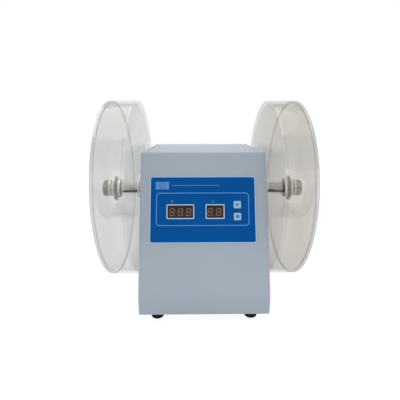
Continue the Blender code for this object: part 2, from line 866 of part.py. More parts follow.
def make_inlet():
    """A flanged mains inlet: a socket with two cut corners and three flat blades."""
    face = rear_panel_thickness + seat_gap
    back = face - inlet_body_depth
    top = face + inlet_flange_thickness
    inlet = flat("power_inlet", [rectangle(*inlet_flange, corner=inlet_flange_corner)],
                 inlet_flange_thickness, on_rear(inlet_x, inlet_row, face), "black plastic")
    fuse(inlet, flat("inlet body", [rectangle(*inlet_body, corner=inlet_corner)],
                     inlet_body_depth + inlet_flange_thickness / 2, on_rear(inlet_x, inlet_row, back)))
    x, y = socket_size[0] / 2, socket_size[1] / 2
    socket = [(-x, -y), (x, -y), (x, y - socket_chamfer), (x - socket_chamfer, y),
              (socket_chamfer - x, y), (-x, y - socket_chamfer)]
    cut(inlet, flat("socket", [socket], socket_depth + cut_overrun,
                    on_rear(inlet_x, inlet_row, top - socket_depth)))
    floor = top - socket_depth
    for dx, dy in ((-blade_spread, -blade_row), (0, blade_row), (blade_spread, -blade_row)):
        fuse(inlet, block("blade", (*blade_size, blade_length + cut_overrun),
                          on_rear(inlet_x + dx, inlet_row + dy, floor - cut_overrun)))


def make_switch():
    """A rocker switch: a framed pocket, and a rocker that tips about a pin across it."""
    face = rear_panel_thickness + seat_gap
    top = face + switch_flange_thickness
    body = flat("switch_frame", [rectangle(*switch_flange, corner=switch_flange_corner, steps=2)],
                switch_flange_thickness, on_rear(switch_x, switch_row, face), "black plastic")
    fuse(body, block("switch body", (*switch_body, switch_body_depth + switch_flange_thickness / 2),
                     on_rear(switch_x, switch_row, face - switch_body_depth)))
    pivot = top - rocker_pivot_depth
    reach = hypot(rocker_half, rocker_rise) + rocker_clearance
    pocket = (rocker_width + 2 * rocker_clearance, 2 * reach)
    floor = pivot - rocker_belly - 2 * rocker_clearance
    cut(body, block("switch pocket", (*pocket, top - floor + cut_overrun),
                    on_rear(switch_x, switch_row, floor)))
    belly = [(rocker_belly * cos(turn), rocker_belly * sin(turn))
             for turn in (pi + pi * i / 6 for i in range(7))]
    tipped = Matrix.Rotation(rocker_tilt, 2)
    drawn = [*belly, (rocker_half, rocker_rise), (0, rocker_dip), (-rocker_half, rocker_rise)]
    outline = [tuple(tipped @ Vector(point)) for point in drawn]
    centre = Vector((-switch_x, rear_y + seat_gap + pivot, axis_height + switch_row))
    flat("switch_rocker", [outline], rocker_width,
         frame(centre + Vector((rocker_width / 2, 0, 0)), (0, 0, 1), (0, 1, 0)), "black plastic")


def make_fuse():
    """A round fuse holder, and the cap that pulls out with its fuse."""
    face = rear_panel_thickness + seat_gap
    top = face + fuse_flange_thickness
    back = face - fuse_barrel_depth
    floor = top - fuse_stem_length - fuse_edge
    holder = [(0, back), (fuse_barrel_radius, back), (fuse_barrel_radius, face), (fuse_flange_radius, face),
              (fuse_flange_radius, top), (fuse_bore_radius, top), (fuse_bore_radius, floor), (0, floor)]
    turned("fuse_holder", holder[::-1], on_rear(fuse_x, fuse_row), "black plastic", small_steps)
    stem = fuse_bore_radius - seat_gap
    head = top + seat_gap
    crown = head + fuse_cap_height
    cap = [(0, crown), (fuse_cap_radius - fuse_edge, crown), (fuse_cap_radius, crown - fuse_edge),
           (fuse_cap_radius, head), (stem, head), (stem, top - fuse_stem_length), (0, top - fuse_stem_length)]
    turned("fuse_cap", cap, on_rear(fuse_x, fuse_row), "black plastic", small_steps)


# Drums

def disc(name, side, start, thickness, finish):
    """A round plate on the shaft's drum seat."""
    x = start if side > 0 else -start - thickness
    flat(name, [circle(drum_radius, drum_steps), circle(drum_seat_radius + seat_gap, small_steps)],
         thickness, across(x), finish)


def vane_outline():
    """An arc from the central ring to the rim, with its hollow side up.

    The hollow side is a circle through the drum's centre that bulges from its chord, the
    drum's radius. Its own centre lies at its radius from the drum's, and an arc of radius
    rho meets a circle of radius r about the drum's centre at an angle by the cosine rule.
    """
    rim = rim_inner_radius - seat_gap
    inside_radius = (rim * rim / 4 + vane_bulge ** 2) / (2 * vane_bulge)
    toward = vane_rim_angle - acos(rim / 2 / inside_radius)
    centre = (inside_radius * cos(toward), inside_radius * sin(toward))
    root = (vane_ring_radius + sleeve_radius) / 2

    def meets(rho, r):
        cosine = (r * r - inside_radius ** 2 - rho * rho) / (2 * inside_radius * rho)
        return toward + acos(cosine)

    points = []
    for rho, inward in ((inside_radius, False), (inside_radius + vane_thickness, True)):
        start, end = meets(rho, root), meets(rho, rim)
        if inward:
            start, end = end, start
        for i in range(vane_steps + 1):
            turn = start + (end - start) * i / vane_steps
            points.append((centre[0] + rho * cos(turn), centre[1] + rho * sin(turn)))
    return points


def make_drum(name, side):
    disc("drum_disc_" + name, side, drum_start, disc_thickness, "clear acrylic")
    disc("drum_lid_" + name, side, lid_start, lid_thickness, "clear acrylic")
    start = disc_end + seat_gap
    depth = drum_depth - 2 * seat_gap
    x = start if side > 0 else -start - depth
    flat("drum_rim_" + name, [circle(drum_radius, drum_steps), circle(rim_inner_radius, drum_steps)],
         depth, across(x), "clear acrylic")
    vane = flat("drum_vane_" + name, [vane_outline()], depth, across(x), "clear acrylic")
    fuse(vane, flat("vane ring", [circle(vane_ring_radius)], depth, across(x)))
    cut(vane, flat("sleeve bore", [circle(sleeve_radius + seat_gap)], depth + 2 * cut_overrun,
                   across(x - cut_overrun)))
    recess = inner_washer_start - seat_gap
    room = lid_start + cut_overrun - recess
    cut(vane, flat("washer recess", [circle(inner_washer_radius + seat_gap)], room,
                   across(recess if side > 0 else -recess - room)))
    flange_end = start + hub_flange_thickness
    recess = start - cut_overrun
    room = flange_end + seat_gap - recess
    cut(vane, flat("flange recess", [circle(hub_flange_radius + seat_gap)], room,
                   across(recess if side > 0 else -recess - room)))
    bore = drum_seat_radius + seat_gap
    sleeve_end = inner_washer_start - seat_gap
    sleeve = [(bore, sleeve_end), (sleeve_radius, sleeve_end), (sleeve_radius, flange_end),
              (hub_flange_radius, flange_end), (hub_flange_radius, start), (bore, start)]
    turned("hub_sleeve_" + name, sleeve, along_shaft(side), "steel", ring=True)
    washer_end = lid_start - seat_gap
    turned("inner_washer_" + name,
           [(bore, washer_end), (inner_washer_radius, washer_end), (inner_washer_radius, inner_washer_start),
            (bore, inner_washer_start)], along_shaft(side), "steel", ring=True)


def make_hand_nut(name, side):
    """The washer and the nut's steel insert with its moulded grip."""
    turned("outer_washer_" + name,
           [(thread_radius + seat_gap, outer_washer_end), (outer_washer_radius, outer_washer_end),
            (outer_washer_radius, outer_washer_start), (thread_radius + seat_gap, outer_washer_start)],
           along_shaft(side), "steel", ring=True)
    bore = thread_radius + seat_gap
    flange_end = nut_flange_start + nut_flange_thickness
    insert = [(bore, nut_core_end), (nut_core_radius, nut_core_end), (nut_core_radius, flange_end),
              (nut_flange_radius, flange_end), (nut_flange_radius, nut_flange_start),
              (nut_neck_radius, nut_flange_start), (nut_neck_radius, nut_start), (bore, nut_start)]
    turned("knob_insert_" + name, insert, along_shaft(side), "steel", small_steps, ring=True)
    core = nut_core_radius + seat_gap
    core_end = nut_core_end + seat_gap
    dish = nut_core_radius
    grip = [(0, grip_end - grip_dish_depth), (dish, grip_end - grip_dish_depth), (dish, grip_end),
            (grip_radius - grip_chamfer, grip_end), (grip_radius, grip_end - grip_chamfer),
            (grip_radius, grip_start), (core, grip_start), (core, core_end), (0, core_end)]
    turned("knob_grip_" + name, grip, along_shaft(side), "tan plastic")


def settle():
    """Turn each part's modifiers into its mesh, shaded smooth except at its edges."""
    bpy.context.view_layer.update()
    graph = bpy.context.evaluated_depsgraph_get()
    made = [(part, bpy.data.meshes.new_from_object(part.evaluated_get(graph))) for part in parts.objects]
    for part, mesh in made:
        part.modifiers.clear()
        part.data = mesh
        mesh.shade_smooth()
        mesh.set_sharp_from_angle(angle=radians(32))


make_cover()
make_collars()
make_tray()
make_feet()
make_control_panel()
make_displays()
make_keys()
make_control_board()
make_bearings()
make_shaft()
make_gears()
make_motor()
make_counter()
make_power_supply()
make_rear_panel()
make_inlet()
make_switch()
make_fuse()
for drum_name, drum_side in (("left", -1), ("right", 1)):
    make_drum(drum_name, drum_side)
    make_hand_nut(drum_name, drum_side)
settle()
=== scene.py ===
import json
from math import acos, atan2, cos, pi, radians, sin, tan

import bmesh
import bpy
import numpy as np
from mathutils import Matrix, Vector


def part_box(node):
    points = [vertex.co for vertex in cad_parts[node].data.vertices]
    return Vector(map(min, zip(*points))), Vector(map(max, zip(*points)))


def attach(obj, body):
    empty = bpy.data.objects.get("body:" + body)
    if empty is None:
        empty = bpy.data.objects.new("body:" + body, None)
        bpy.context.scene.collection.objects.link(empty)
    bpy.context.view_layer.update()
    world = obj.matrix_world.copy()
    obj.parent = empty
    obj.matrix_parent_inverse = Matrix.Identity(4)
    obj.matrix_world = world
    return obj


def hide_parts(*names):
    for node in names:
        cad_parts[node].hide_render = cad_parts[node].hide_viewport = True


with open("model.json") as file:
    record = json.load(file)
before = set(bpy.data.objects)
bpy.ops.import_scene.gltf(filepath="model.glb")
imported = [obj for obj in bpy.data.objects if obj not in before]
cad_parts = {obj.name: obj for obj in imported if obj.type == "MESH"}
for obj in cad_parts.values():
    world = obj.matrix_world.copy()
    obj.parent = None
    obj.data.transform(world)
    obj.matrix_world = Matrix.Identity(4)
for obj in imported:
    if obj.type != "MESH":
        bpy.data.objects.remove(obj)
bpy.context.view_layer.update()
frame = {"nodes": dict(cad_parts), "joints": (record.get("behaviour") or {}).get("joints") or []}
nodes = frame["nodes"]
mm = 0.001
print("frame loaded:", len(nodes), "nodes")

# places that the frame gives: the shaft's height, and the directions of the front slope
joints = {joint["name"]: joint for joint in frame["joints"]}
axisZ = joints["shaft_spin"]["pos_m"][2]
slopeOut = -Vector(joints["key_upper_press"]["axis"]).normalized()
slopeUp = Vector((0, slopeOut.z, -slopeOut.y))
sides = (("left", -1), ("right", 1))


def spanOf(node, side):
    # how near to and far from the middle a piece on the shaft reaches, and its outer radius
    low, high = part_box(node)
    near, far = sorted((side * low.x, side * high.x))
    return near, far, (high.z - low.z) / 2


def tiltedSize(node):
    # a plate on the slope fills a box whose depth and height mix its own height and thickness
    low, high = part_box(node)
    deep, tall = high.y - low.y, high.z - low.z
    s, c = slopeUp.y, slopeUp.z
    height = (tall * c - deep * s) / (c * c - s * s)
    thick = (deep * c - tall * s) / (c * c - s * s)
    return high.x - low.x, height, thick, (low + high) / 2


def keyTop(node):
    # the middle of the key's flat face, which lies farthest out from the slope
    places = [vertex.co for vertex in nodes[node].data.vertices]
    level = max(place.dot(slopeOut) for place in places)
    face = [place for place in places if place.dot(slopeOut) > level - 0.01 * mm]
    return sum(face, Vector()) / len(face)


# Surfaces: each shape is a pair of points and faces

def gridFaces(rows, columns, closedRows=False, closedColumns=True):
    # quads between neighbouring points of a grid that is stored row by row
    i = np.arange(rows if closedRows else rows - 1)[:, None]
    j = np.arange(columns if closedColumns else columns - 1)[None, :]
    nextRow, nextColumn = (i + 1) % rows, (j + 1) % columns
    corners = [(i, j), (i, nextColumn), (nextRow, nextColumn), (nextRow, j)]
    quads = [row * columns + column for row, column in corners]
    return np.stack(np.broadcast_arrays(*quads), -1).reshape(-1, 4)


def softLoop(points, radius, steps=3, most=0.45):
    # each corner of a closed loop becomes an arc that touches both of its sides, and takes at most a share
    # of the shorter one
    here = np.array(points, float)
    back, on = np.roll(here, 1, 0) - here, np.roll(here, -1, 0) - here
    backLength, onLength = np.linalg.norm(back, axis=1), np.linalg.norm(on, axis=1)
    back, on = back / backLength[:, None], on / onLength[:, None]
    half = np.arccos(np.clip((back * on).sum(1), -1, 1)) / 2
    room = most * np.minimum(backLength, onLength)
    reach = np.minimum(np.broadcast_to(radius, half.shape) / np.tan(half), room)
    arcRadius = reach * np.tan(half)
    toCentre = (back + on) / np.maximum(np.linalg.norm(back + on, axis=1), 1e-9)[:, None]
    centre = here + toCentre * (arcRadius / np.sin(half))[:, None]
    start, end = here + back * reach[:, None] - centre, here + on * reach[:, None] - centre
    first = np.arctan2(start[:, 1], start[:, 0])
    sweep = (np.arctan2(end[:, 1], end[:, 0]) - first + pi) % (2 * pi) - pi
    turn = first[:, None] + sweep[:, None] * np.linspace(0, 1, steps + 1)[None, :]
    ring = np.stack([np.cos(turn), np.sin(turn)], -1) * arcRadius[:, None, None]
    return (centre[:, None, :] + ring).reshape(-1, 2)


def turned(profile, steps=64, closed=True, ripple=None):
    # a profile of (height, radius) turned about the out direction, less a ripple of height and turn;
    # an open profile starts and ends on the axis
    turn = np.linspace(0, 2 * pi, steps, endpoint=False)[None, :]
    height, radius = np.array(profile)[:, 0:1], np.array(profile)[:, 1:2]
    if ripple:
        radius = radius - ripple(height, radius, turn)
    points = np.stack(np.broadcast_arrays(radius * np.cos(turn), radius * np.sin(turn), height), -1)
    return points.reshape(-1, 3), gridFaces(len(profile), steps, closed)


def solidTurned(profile, radii, steps=64, arcSteps=4, ripple=None):
    # the same for a solid whose profile starts and ends on the axis, with its corners made round
    soft = softLoop(profile, radii, arcSteps)
    soft = soft[soft[:, 1] > 1e-7]
    return turned(np.concatenate([[profile[0]], soft, [profile[-1]]]), steps, False, ripple)


def joined(*shapes):
    # several shapes as one, with their faces renumbered
    points, faces, count = [], [], 0
    for shapePoints, shapeFaces in shapes:
        points.append(shapePoints)
        faces += [[corner + count for corner in face] for face in shapeFaces]
        count += len(shapePoints)
    return np.concatenate(points), faces


def placed(shape, origin, across=(1, 0, 0), up=(0, 1, 0)):
    # a shape given as (across, up, out), set at a point in those directions
    points, faces = shape
    across, up = Vector(across), Vector(up)
    turn = np.array([across, up, across.cross(up)])
    return np.asarray(points) @ turn + np.array(origin), faces


def onShaft(shape, side=1):
    # heights run outwards along the shaft
    return placed(shape, (0, 0, axisZ), (0, side, 0), (0, 0, 1))


def onRear(shape, x, y, z):
    return placed(shape, (x, y, z), (-1, 0, 0), (0, 0, 1))


def onSlope(shape, origin):
    return placed(shape, origin, (1, 0, 0), slopeUp)


def slab(outline, low, high, edge=0.2 * mm, steps=2, bothEdges=False):
    # a flat outline given depth, whose edges are quarter rounds that draw the outline in
    outline = np.array(outline)
    on, back = np.roll(outline, -1, 0) - outline, outline - np.roll(outline, 1, 0)
    on, back = on / np.linalg.norm(on, axis=1)[:, None], back / np.linalg.norm(back, axis=1)[:, None]
    along = (on + back) / np.linalg.norm(on + back, axis=1)[:, None]
    inside = np.stack([-along[:, 1], along[:, 0]], 1)
    turns = np.linspace(0, pi / 2, steps + 1)
    drawn, height = edge * (1 - np.cos(turns)), high - edge + edge * np.sin(turns)
    if bothEdges:
        lower = low + high - height[::-1]
        drawn, height = np.concatenate([drawn[::-1], drawn]), np.concatenate([lower, height])
    else:
        drawn, height = np.concatenate([[0], drawn]), np.concatenate([[low], height])
    flat = outline[None, :, :] + inside[None, :, :] * drawn[:, None, None]
    points = np.concatenate([flat, np.broadcast_to(height[:, None, None], (*flat.shape[:2], 1))], -1)
    count, rows = len(outline), len(height)
    faces = gridFaces(rows, count).tolist()
    faces.append(list(range((rows - 1) * count, rows * count)))
    faces.append(list(range(count))[::-1])
    return points.reshape(-1, 3), faces


def rectangle(width, height, corner=0.0, steps=5):
    x, y = width / 2, height / 2
    points = np.array([(-x, -y), (x, -y), (x, y), (-x, y)])
    return softLoop(points, corner, steps) if corner else points


def windowFrame(width, height, border, low, high, edge=0.3 * mm, corner=1.5 * mm, innerCorner=0.3 * mm):
    # a rounded section carried round a rectangle: outer and inner rectangles share their corner steps
    section = softLoop([(0, low), (0, high), (-border, high), (-border, low)], edge, 3)
    path = rectangle(width, height, corner)
    inner = rectangle(width - 2 * border, height - 2 * border, innerCorner)
    share = -section[:, 0] / border
    flat = path[None, :, :] * (1 - share[:, None, None]) + inner[None, :, :] * share[:, None, None]
    height = np.broadcast_to(section[:, 1][:, None, None], (*flat.shape[:2], 1))
    return np.concatenate([flat, height], -1).reshape(-1, 3), gridFaces(len(section), len(path), True)


def crossHead(radius, rise, depth, slot=0.11, reach=0.6, wall=0.03):
    # a domed screw head: a square grid pulled onto a disc, high in the middle, less a cross whose half
    # width, reach and leaning walls are shares of the radius; a flat lower grid shares its rim
    half = np.array([slot, slot + wall, 0.35, reach, reach + wall, 0.8, 0.93, 1])
    lines = np.concatenate([-half[::-1], [0], half])
    u, v = np.meshgrid(lines, lines)
    x, y = u * np.sqrt(1 - v * v / 2), v * np.sqrt(1 - u * u / 2)
    dome = rise * np.sqrt(np.clip(1 - 0.8 * (x * x + y * y) ** 2, 0, 1)) * (np.maximum(abs(u), abs(v)) < 1)
    cross = ((abs(u) <= slot) & (abs(v) <= reach)) | ((abs(v) <= slot) & (abs(u) <= reach))
    top = np.stack([x * radius, y * radius, dome - depth * cross], -1).reshape(-1, 3)
    quads = gridFaces(len(lines), len(lines), False, False)
    return joined((top, quads), (top * (1, 1, 0), quads))


def cleanMesh(name, shape, sharp=radians(32)):
    # one closed mesh, with its doubles merged, its normals outwards and its real edges sharp
    points, faces = shape
    mesh = bpy.data.meshes.new(name)
    mesh.from_pydata(np.asarray(points).tolist(), [], [list(map(int, face)) for face in faces])
    cleaned = bmesh.new()
    cleaned.from_mesh(mesh)
    bmesh.ops.remove_doubles(cleaned, verts=cleaned.verts, dist=0.002 * mm)
    bmesh.ops.dissolve_degenerate(cleaned, edges=cleaned.edges, dist=0.001 * mm)
    bmesh.ops.recalc_face_normals(cleaned, faces=cleaned.faces)
    cleaned.to_mesh(mesh)
    cleaned.free()
    mesh.shade_smooth()
    mesh.set_sharp_from_angle(angle=sharp)
    return mesh


def addObject(name, data):
    made = bpy.data.objects.new(name, data)
    bpy.context.scene.collection.objects.link(made)
    return made


def addPiece(name, shape, body, finish, replaces=()):
    # a piece of the object: the body that it rides on, its finish, and the nodes that it stands for
    mesh = shape if isinstance(shape, bpy.types.Mesh) else cleanMesh(name, shape)
    piece = addObject(name, mesh)
    mesh.materials.append(paints[finish])
    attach(piece, body)
    if replaces:
        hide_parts(*replaces)


def addRound(name, side, loop, edges, body, finish, replaces, steps=96):
    # a ring on the shaft, from a closed profile whose corners are made round
    addPiece(name, onShaft(turned(softLoop(loop, edges), steps), side), body, finish, replaces)


# Materials

blur = 0.1 * mm                 # how softly a printed shape ends


class Number:
    # a number socket with Python's operators, each of which adds a Math node
    def __init__(self, maker, socket):
        self.maker, self.socket = maker, socket

    def __add__(self, other):
        return self.maker.math("ADD", self, other)

    def __radd__(self, other):
        return self.maker.math("ADD", other, self)

    def __sub__(self, other):
        return self.maker.math("SUBTRACT", self, other)

    def __rsub__(self, other):
        return self.maker.math("SUBTRACT", other, self)

    def __mul__(self, other):
        return self.maker.math("MULTIPLY", self, other)

    def __rmul__(self, other):
        return self.maker.math("MULTIPLY", other, self)

    def __abs__(self):
        return self.maker.math("ABSOLUTE", self)

    def least(self, other):
        return self.maker.math("MINIMUM", self, other)

    def most(self, other):
        return self.maker.math("MAXIMUM", self, other)

    def root(self):
        return self.maker.math("SQRT", self)

    def sine(self):
        return self.maker.math("SINE", self)

    def ramp(self, low, high):
        # 0 at low and 1 at high, smoothly
        return self.maker.number("ShaderNodeMapRange", dict(interpolation_type="SMOOTHSTEP"),
                                 {"Value": self, "From Min": low, "From Max": high})


class Maker:
    # builds one material's nodes
    def __init__(self, name):
        self.material = bpy.data.materials.new(name)
        self.material.use_nodes = True
        self.tree = self.material.node_tree
        self.tree.nodes.clear()
        self.output = self.tree.nodes.new("ShaderNodeOutputMaterial")
        self.where = self.node("ShaderNodeTexCoord").outputs["Object"]

    def node(self, kind, settings=None, values=None):
        made = self.tree.nodes.new(kind)
        for key, value in (settings or {}).items():
            setattr(made, key, value)
        for key, value in (values or {}).items():
            self.feed(made.inputs[key], value)
        return made

    def feed(self, socket, value):
        if isinstance(value, Number):
            value = value.socket
        if isinstance(value, bpy.types.NodeSocket):
            self.tree.links.new(value, socket)
        elif hasattr(value, "__len__") and len(value) == 3 and len(socket.default_value) == 4:
            socket.default_value = (*value, 1)
        else:
            socket.default_value = value

    def number(self, kind, settings=None, values=None, output=0):
        return Number(self, self.node(kind, settings, values).outputs[output])

    def math(self, operation, first, second=None):
        values = {0: first} if second is None else {0: first, 1: second}
        return self.number("ShaderNodeMath", dict(operation=operation), values)

    def axes(self):
        split = self.node("ShaderNodeSeparateXYZ", None, {0: self.where})
        return [Number(self, split.outputs[i]) for i in range(3)]

    def vector(self, x, y, z):
        return self.node("ShaderNodeCombineXYZ", None, {0: x, 1: y, 2: z}).outputs[0]

    def noise(self, scale, detail=3, roughness=0.55, vector=None):
        return self.number("ShaderNodeTexNoise", None, {
            "Vector": self.where if vector is None else vector, "Scale": scale, "Detail": detail,
            "Roughness": roughness})

    def blend(self, share, first, second):
        made = self.node("ShaderNodeMix", dict(data_type="RGBA"), {0: share})
        self.feed(made.inputs[6], first)
        self.feed(made.inputs[7], second)
        return made.outputs[2]

    def bump(self, height, distance):
        return self.node("ShaderNodeBump", None, {"Height": height, "Distance": distance}).outputs[0]

    def finish(self, **values):
        named = {key.replace("_", " "): value for key, value in values.items()}
        shader = self.node("ShaderNodeBsdfPrincipled", None, named)
        self.tree.links.new(shader.outputs[0], self.output.inputs[0])
        return self.material

    def slopeAxes(self, origin):
        # right and up coordinates on the panel's slope, measured from a point of it
        x, y, z = self.axes()
        return x - origin[0], (y - origin[1]) * slopeUp.y + (z - origin[2]) * slopeUp.z

    def boxDistance(self, x, y, width, height, corner=0.0):
        # distance to a rounded rectangle: outside its core, less the corner's radius
        overX, overY = abs(x) - (width / 2 - corner), abs(y) - (height / 2 - corner)
        outX, outY = overX.most(0), overY.most(0)
        return (outX * outX + outY * outY).root() + overX.most(overY).least(0) - corner

    def pointDistance(self, x, y):
        return (x * x + y * y).root()

    def inside(self, distance):
        return 1 - distance.ramp(-blur, blur)

    def circle(self, place, radius, line):
        # a ring round the origin of a place's coordinates, from half its line's width
        return self.inside(abs(self.pointDistance(*place) - radius) - line)

    def fromShaft(self):
        # distance from the shaft's line
        x, y, z = self.axes()
        return self.pointDistance(y, z - axisZ)


def linear(red, green, blue):
    # a colour as read off a screen, 0 to 255, in the shader's own scale
    share = np.array([red, green, blue]) / 255
    return tuple(np.where(share <= 0.04045, share / 12.92, ((share + 0.055) / 1.055) ** 2.4).tolist())


paint = dict(colour=(160, 171, 183), shade=(154, 165, 177), speck=(196, 203, 212), specks=0.12,
             peelScale=850, peel=0.022 * mm, roughness=0.42)


def housingPaint():
    # sprayed enamel: an orange peel surface, faint clouds of tone, and fine pale specks
    make = Maker("housing paint")
    peel = make.noise(paint["peelScale"], 2)
    speck = make.noise(5200, 1).ramp(0.70, 0.78)
    colour = make.blend(make.noise(9, 2), linear(*paint["shade"]), linear(*paint["colour"]))
    colour = make.blend(speck * paint["specks"], colour, linear(*paint["speck"]))
    return make.finish(Base_Color=colour, Roughness=paint["roughness"] + 0.06 * make.noise(40),
                       Normal=make.bump(peel, paint["peel"]), Specular_IOR_Level=0.3)


panelWidth, panelHeight, _, panelMiddle = tiltedSize("control_overlay")
panel = dict(blue=(0, 82, 154), deep=(0, 73, 143), edge=(165, 200, 232), line=(84, 146, 210),
             pale=(92, 138, 192), corner=4 * mm, edgeWidth=1.1 * mm,
             box=(137.5 * mm, 48.5 * mm, 5 * mm), boxAt=(-0.3 * mm, 0.4 * mm), boxLine=0.6 * mm,
             rule=(72 * mm, 1.4 * mm, 0.5 * mm), ruleAt=(-11 * mm, 36.2 * mm), ruleInk=0.55)
# the patch and its drum; the clock and the place and size of each hand; the turning arrow, with a gap in
# its arc and a pointed head
drumSign = dict(patch=(20 * mm, 11.4 * mm, 0.6 * mm), at=(-60.5 * mm, 36 * mm), radius=4.3 * mm,
                line=0.45 * mm, hub=0.9 * mm, vane=2.5 * mm, vaneAt=(-2.2 * mm, 1.2 * mm), vaneLine=0.32 * mm,
                ink=0.8)
clockSign = dict(at=(-46 * mm, 12.2 * mm), radius=1.7 * mm, line=0.3 * mm,
                 hands=((0, 0.55 * mm, 0.4 * mm, 1.3 * mm), (0.4 * mm, 0, 1.1 * mm, 0.4 * mm)), ink=0.75)
turnSign = dict(at=(15 * mm, 12.2 * mm), gap=(2.2 * mm, 1.5 * mm), gapAt=(1.2 * mm, 1.0 * mm),
                head=0.9 * mm, headAt=(1.75 * mm, 0.3 * mm))


def panelFilm():
    # a printed film: its border, a box round the controls, and signs instead of words
    make = Maker("panel film")
    here = make.slopeAxes(panelMiddle)

    def past(spot, place=here):
        # a place's coordinates, measured from a spot
        return place[0] - spot[0], place[1] - spot[1]

    colour = make.blend(make.noise(14, 2), linear(*panel["deep"]), linear(*panel["blue"]))
    rim = make.boxDistance(*here, panelWidth, panelHeight, panel["corner"])
    colour = make.blend((rim + panel["edgeWidth"]).ramp(-blur, blur), colour, linear(*panel["edge"]))
    box = make.inside(abs(make.boxDistance(*past(panel["boxAt"]), *panel["box"])) - panel["boxLine"])
    rule = make.inside(make.boxDistance(*past(panel["ruleAt"]), *panel["rule"]))
    colour = make.blend(box.most(rule * panel["ruleInk"]), colour, linear(*panel["line"]))

    # the patch holds a drum seen from the side, with its hub and its curved vane
    onDrum = past(drumSign["at"])
    patch = make.inside(make.boxDistance(*onDrum, *drumSign["patch"]))
    colour = make.blend(patch, colour, linear(*panel["pale"]))
    fromHub = make.pointDistance(*onDrum)
    hubDot = make.inside(fromHub - drumSign["hub"])
    arc = make.circle(past(drumSign["vaneAt"], onDrum), drumSign["vane"], drumSign["vaneLine"])
    arc = arc * make.inside(onDrum[0]) * make.inside(fromHub - drumSign["radius"]) * make.inside(onDrum[1])
    drumInk = make.circle(onDrum, drumSign["radius"], drumSign["line"]).most(hubDot).most(arc)
    colour = make.blend(drumInk * drumSign["ink"], colour, linear(*panel["blue"]))

    # a clock over the time display, and an arc with its arrow's head over the count display
    onClock, onTurn = past(clockSign["at"]), past(turnSign["at"])
    ink = make.circle(onClock, clockSign["radius"], clockSign["line"])
    for x, up, *size in clockSign["hands"]:
        ink = ink.most(make.inside(make.boxDistance(*past((x, up), onClock), *size)))
    gap = make.inside(make.boxDistance(*past(turnSign["gapAt"], onTurn), *turnSign["gap"]))
    ink = ink.most(make.circle(onTurn, clockSign["radius"], clockSign["line"]) * (1 - gap))
    headX, headUp = past(turnSign["headAt"], onTurn)
    ink = ink.most(make.inside((abs(headX) + abs(headUp)) - turnSign["head"]))
    colour = make.blend(ink * clockSign["ink"], colour, linear(*panel["pale"]))
    return make.finish(Base_Color=colour, Roughness=0.42 + 0.08 * make.noise(60),
                       Normal=make.bump(make.noise(2600, 2), 0.01 * mm), Specular_IOR_Level=0.04)


# the right drums' tint is darker and warmer than the left's: painted shade, the same clear acrylic made darker
# where less light fell on the right drum
acrylic = dict(left=(0.917, 0.918, 0.917), right=(0.884, 0.876, 0.862), vane=(0.99, 0.99, 0.987),
               vaneShare=0.33, body=(206, 207, 206), dust=(222, 222, 218), straight=0.035, glance=0.5,
               veil=0.015, haze=0.02, roughness=0.04, joints=(110 * mm, 148 * mm), jointHalf=0.3 * mm,
               jointInner=143 * mm, joint=(108, 110, 110), jointVeil=0.15, edgeInner=147.6 * mm,
               edgeVeil=0.42, edgeGrey=0.6, discShare=0.3)


def clearAcrylic(name, tint, shine=1.0):
    # clear plate: what shows through each face takes its tint, and the rest is reflection, by Schlick's
    # formula on the way that the face is turned, under a faint haze with fine rubbed lines round the
    # shaft; the cement between disc and rim, and the lid's seat, show as thin rings, and the plates' cut
    # edges are greyer
    make = Maker(name)
    haze = make.noise(30, 3).ramp(0.4, 0.85)
    fromShaft, outward = make.fromShaft(), abs(make.axes()[0])
    rubbed = make.noise(700, 2, 0.6, make.vector(outward * 0.1, fromShaft, 0)).ramp(0.62, 0.80)
    facing = make.number("ShaderNodeLayerWeight", None, {"Blend": 0.5}, "Facing")
    square = facing * facing
    mirror = acrylic["straight"] + acrylic["glance"] * (square * square * facing)
    inner, outer = acrylic["joints"]
    rings = [make.inside(abs(outward - place) - acrylic["jointHalf"]) for place in (inner, outer)]
    joint = rings[0].most(rings[1]) * fromShaft.ramp(acrylic["jointInner"], acrylic["jointInner"] + 0.5 * mm)
    cutEdge = (acrylic["discShare"] * make.inside(outward - inner)).most(make.inside(outer - outward))
    cutEdge = cutEdge * fromShaft.ramp(acrylic["edgeInner"], acrylic["edgeInner"] + 0.2 * mm)
    base = make.blend(haze, linear(*acrylic["body"]), linear(*acrylic["dust"]))
    base = make.blend(joint.most(cutEdge * acrylic["edgeGrey"]), base, linear(*acrylic["joint"]))
    shader = make.node("ShaderNodeBsdfPrincipled", None, {
        "Base Color": base, "Metallic": 0.8, "Roughness": acrylic["roughness"] + 0.03 * haze + 0.04 * rubbed})
    clear = make.node("ShaderNodeBsdfTransparent", None, {"Color": tint})
    mixed = make.node("ShaderNodeMixShader", None, {
        0: (shine * (mirror + acrylic["veil"] + acrylic["haze"] * haze) + acrylic["jointVeil"] * joint
            + acrylic["edgeVeil"] * cutEdge),
        1: clear.outputs[0], 2: shader.outputs[0]})
    make.tree.links.new(mixed.outputs[0], make.output.inputs[0])
    return make.material


def turnedSteel(name, colour, roughness=0.24):
    # fine rings round the shaft, with soft stains
    make = Maker(name)
    rings = make.noise(3000, 2, 0.6, make.vector(make.fromShaft(), make.axes()[0], 0))
    stains = make.noise(160, 3).ramp(0.4, 0.75)
    dark = tuple(0.62 * share for share in linear(*colour))
    return make.finish(Base_Color=make.blend(rings * 0.5 + stains * 0.3, linear(*colour), dark), Metallic=1.0,
                       Roughness=roughness + 0.14 * rings, Normal=make.bump(rings, 0.012 * mm))


def platedSteel():
    # zinc plate: pale crystals under a thin cloudy film
    make = Maker("zinc plate")
    spangle = make.number("ShaderNodeTexVoronoi", None, {"Vector": make.where, "Scale": 130})
    cloud = make.noise(30, 4)
    base = make.blend(spangle * 0.7 + cloud * 0.4, linear(196, 198, 198), linear(158, 162, 166))
    return make.finish(Base_Color=base, Metallic=0.9, Roughness=0.34 + 0.15 * cloud,
                       Normal=make.bump(cloud, 0.02 * mm))


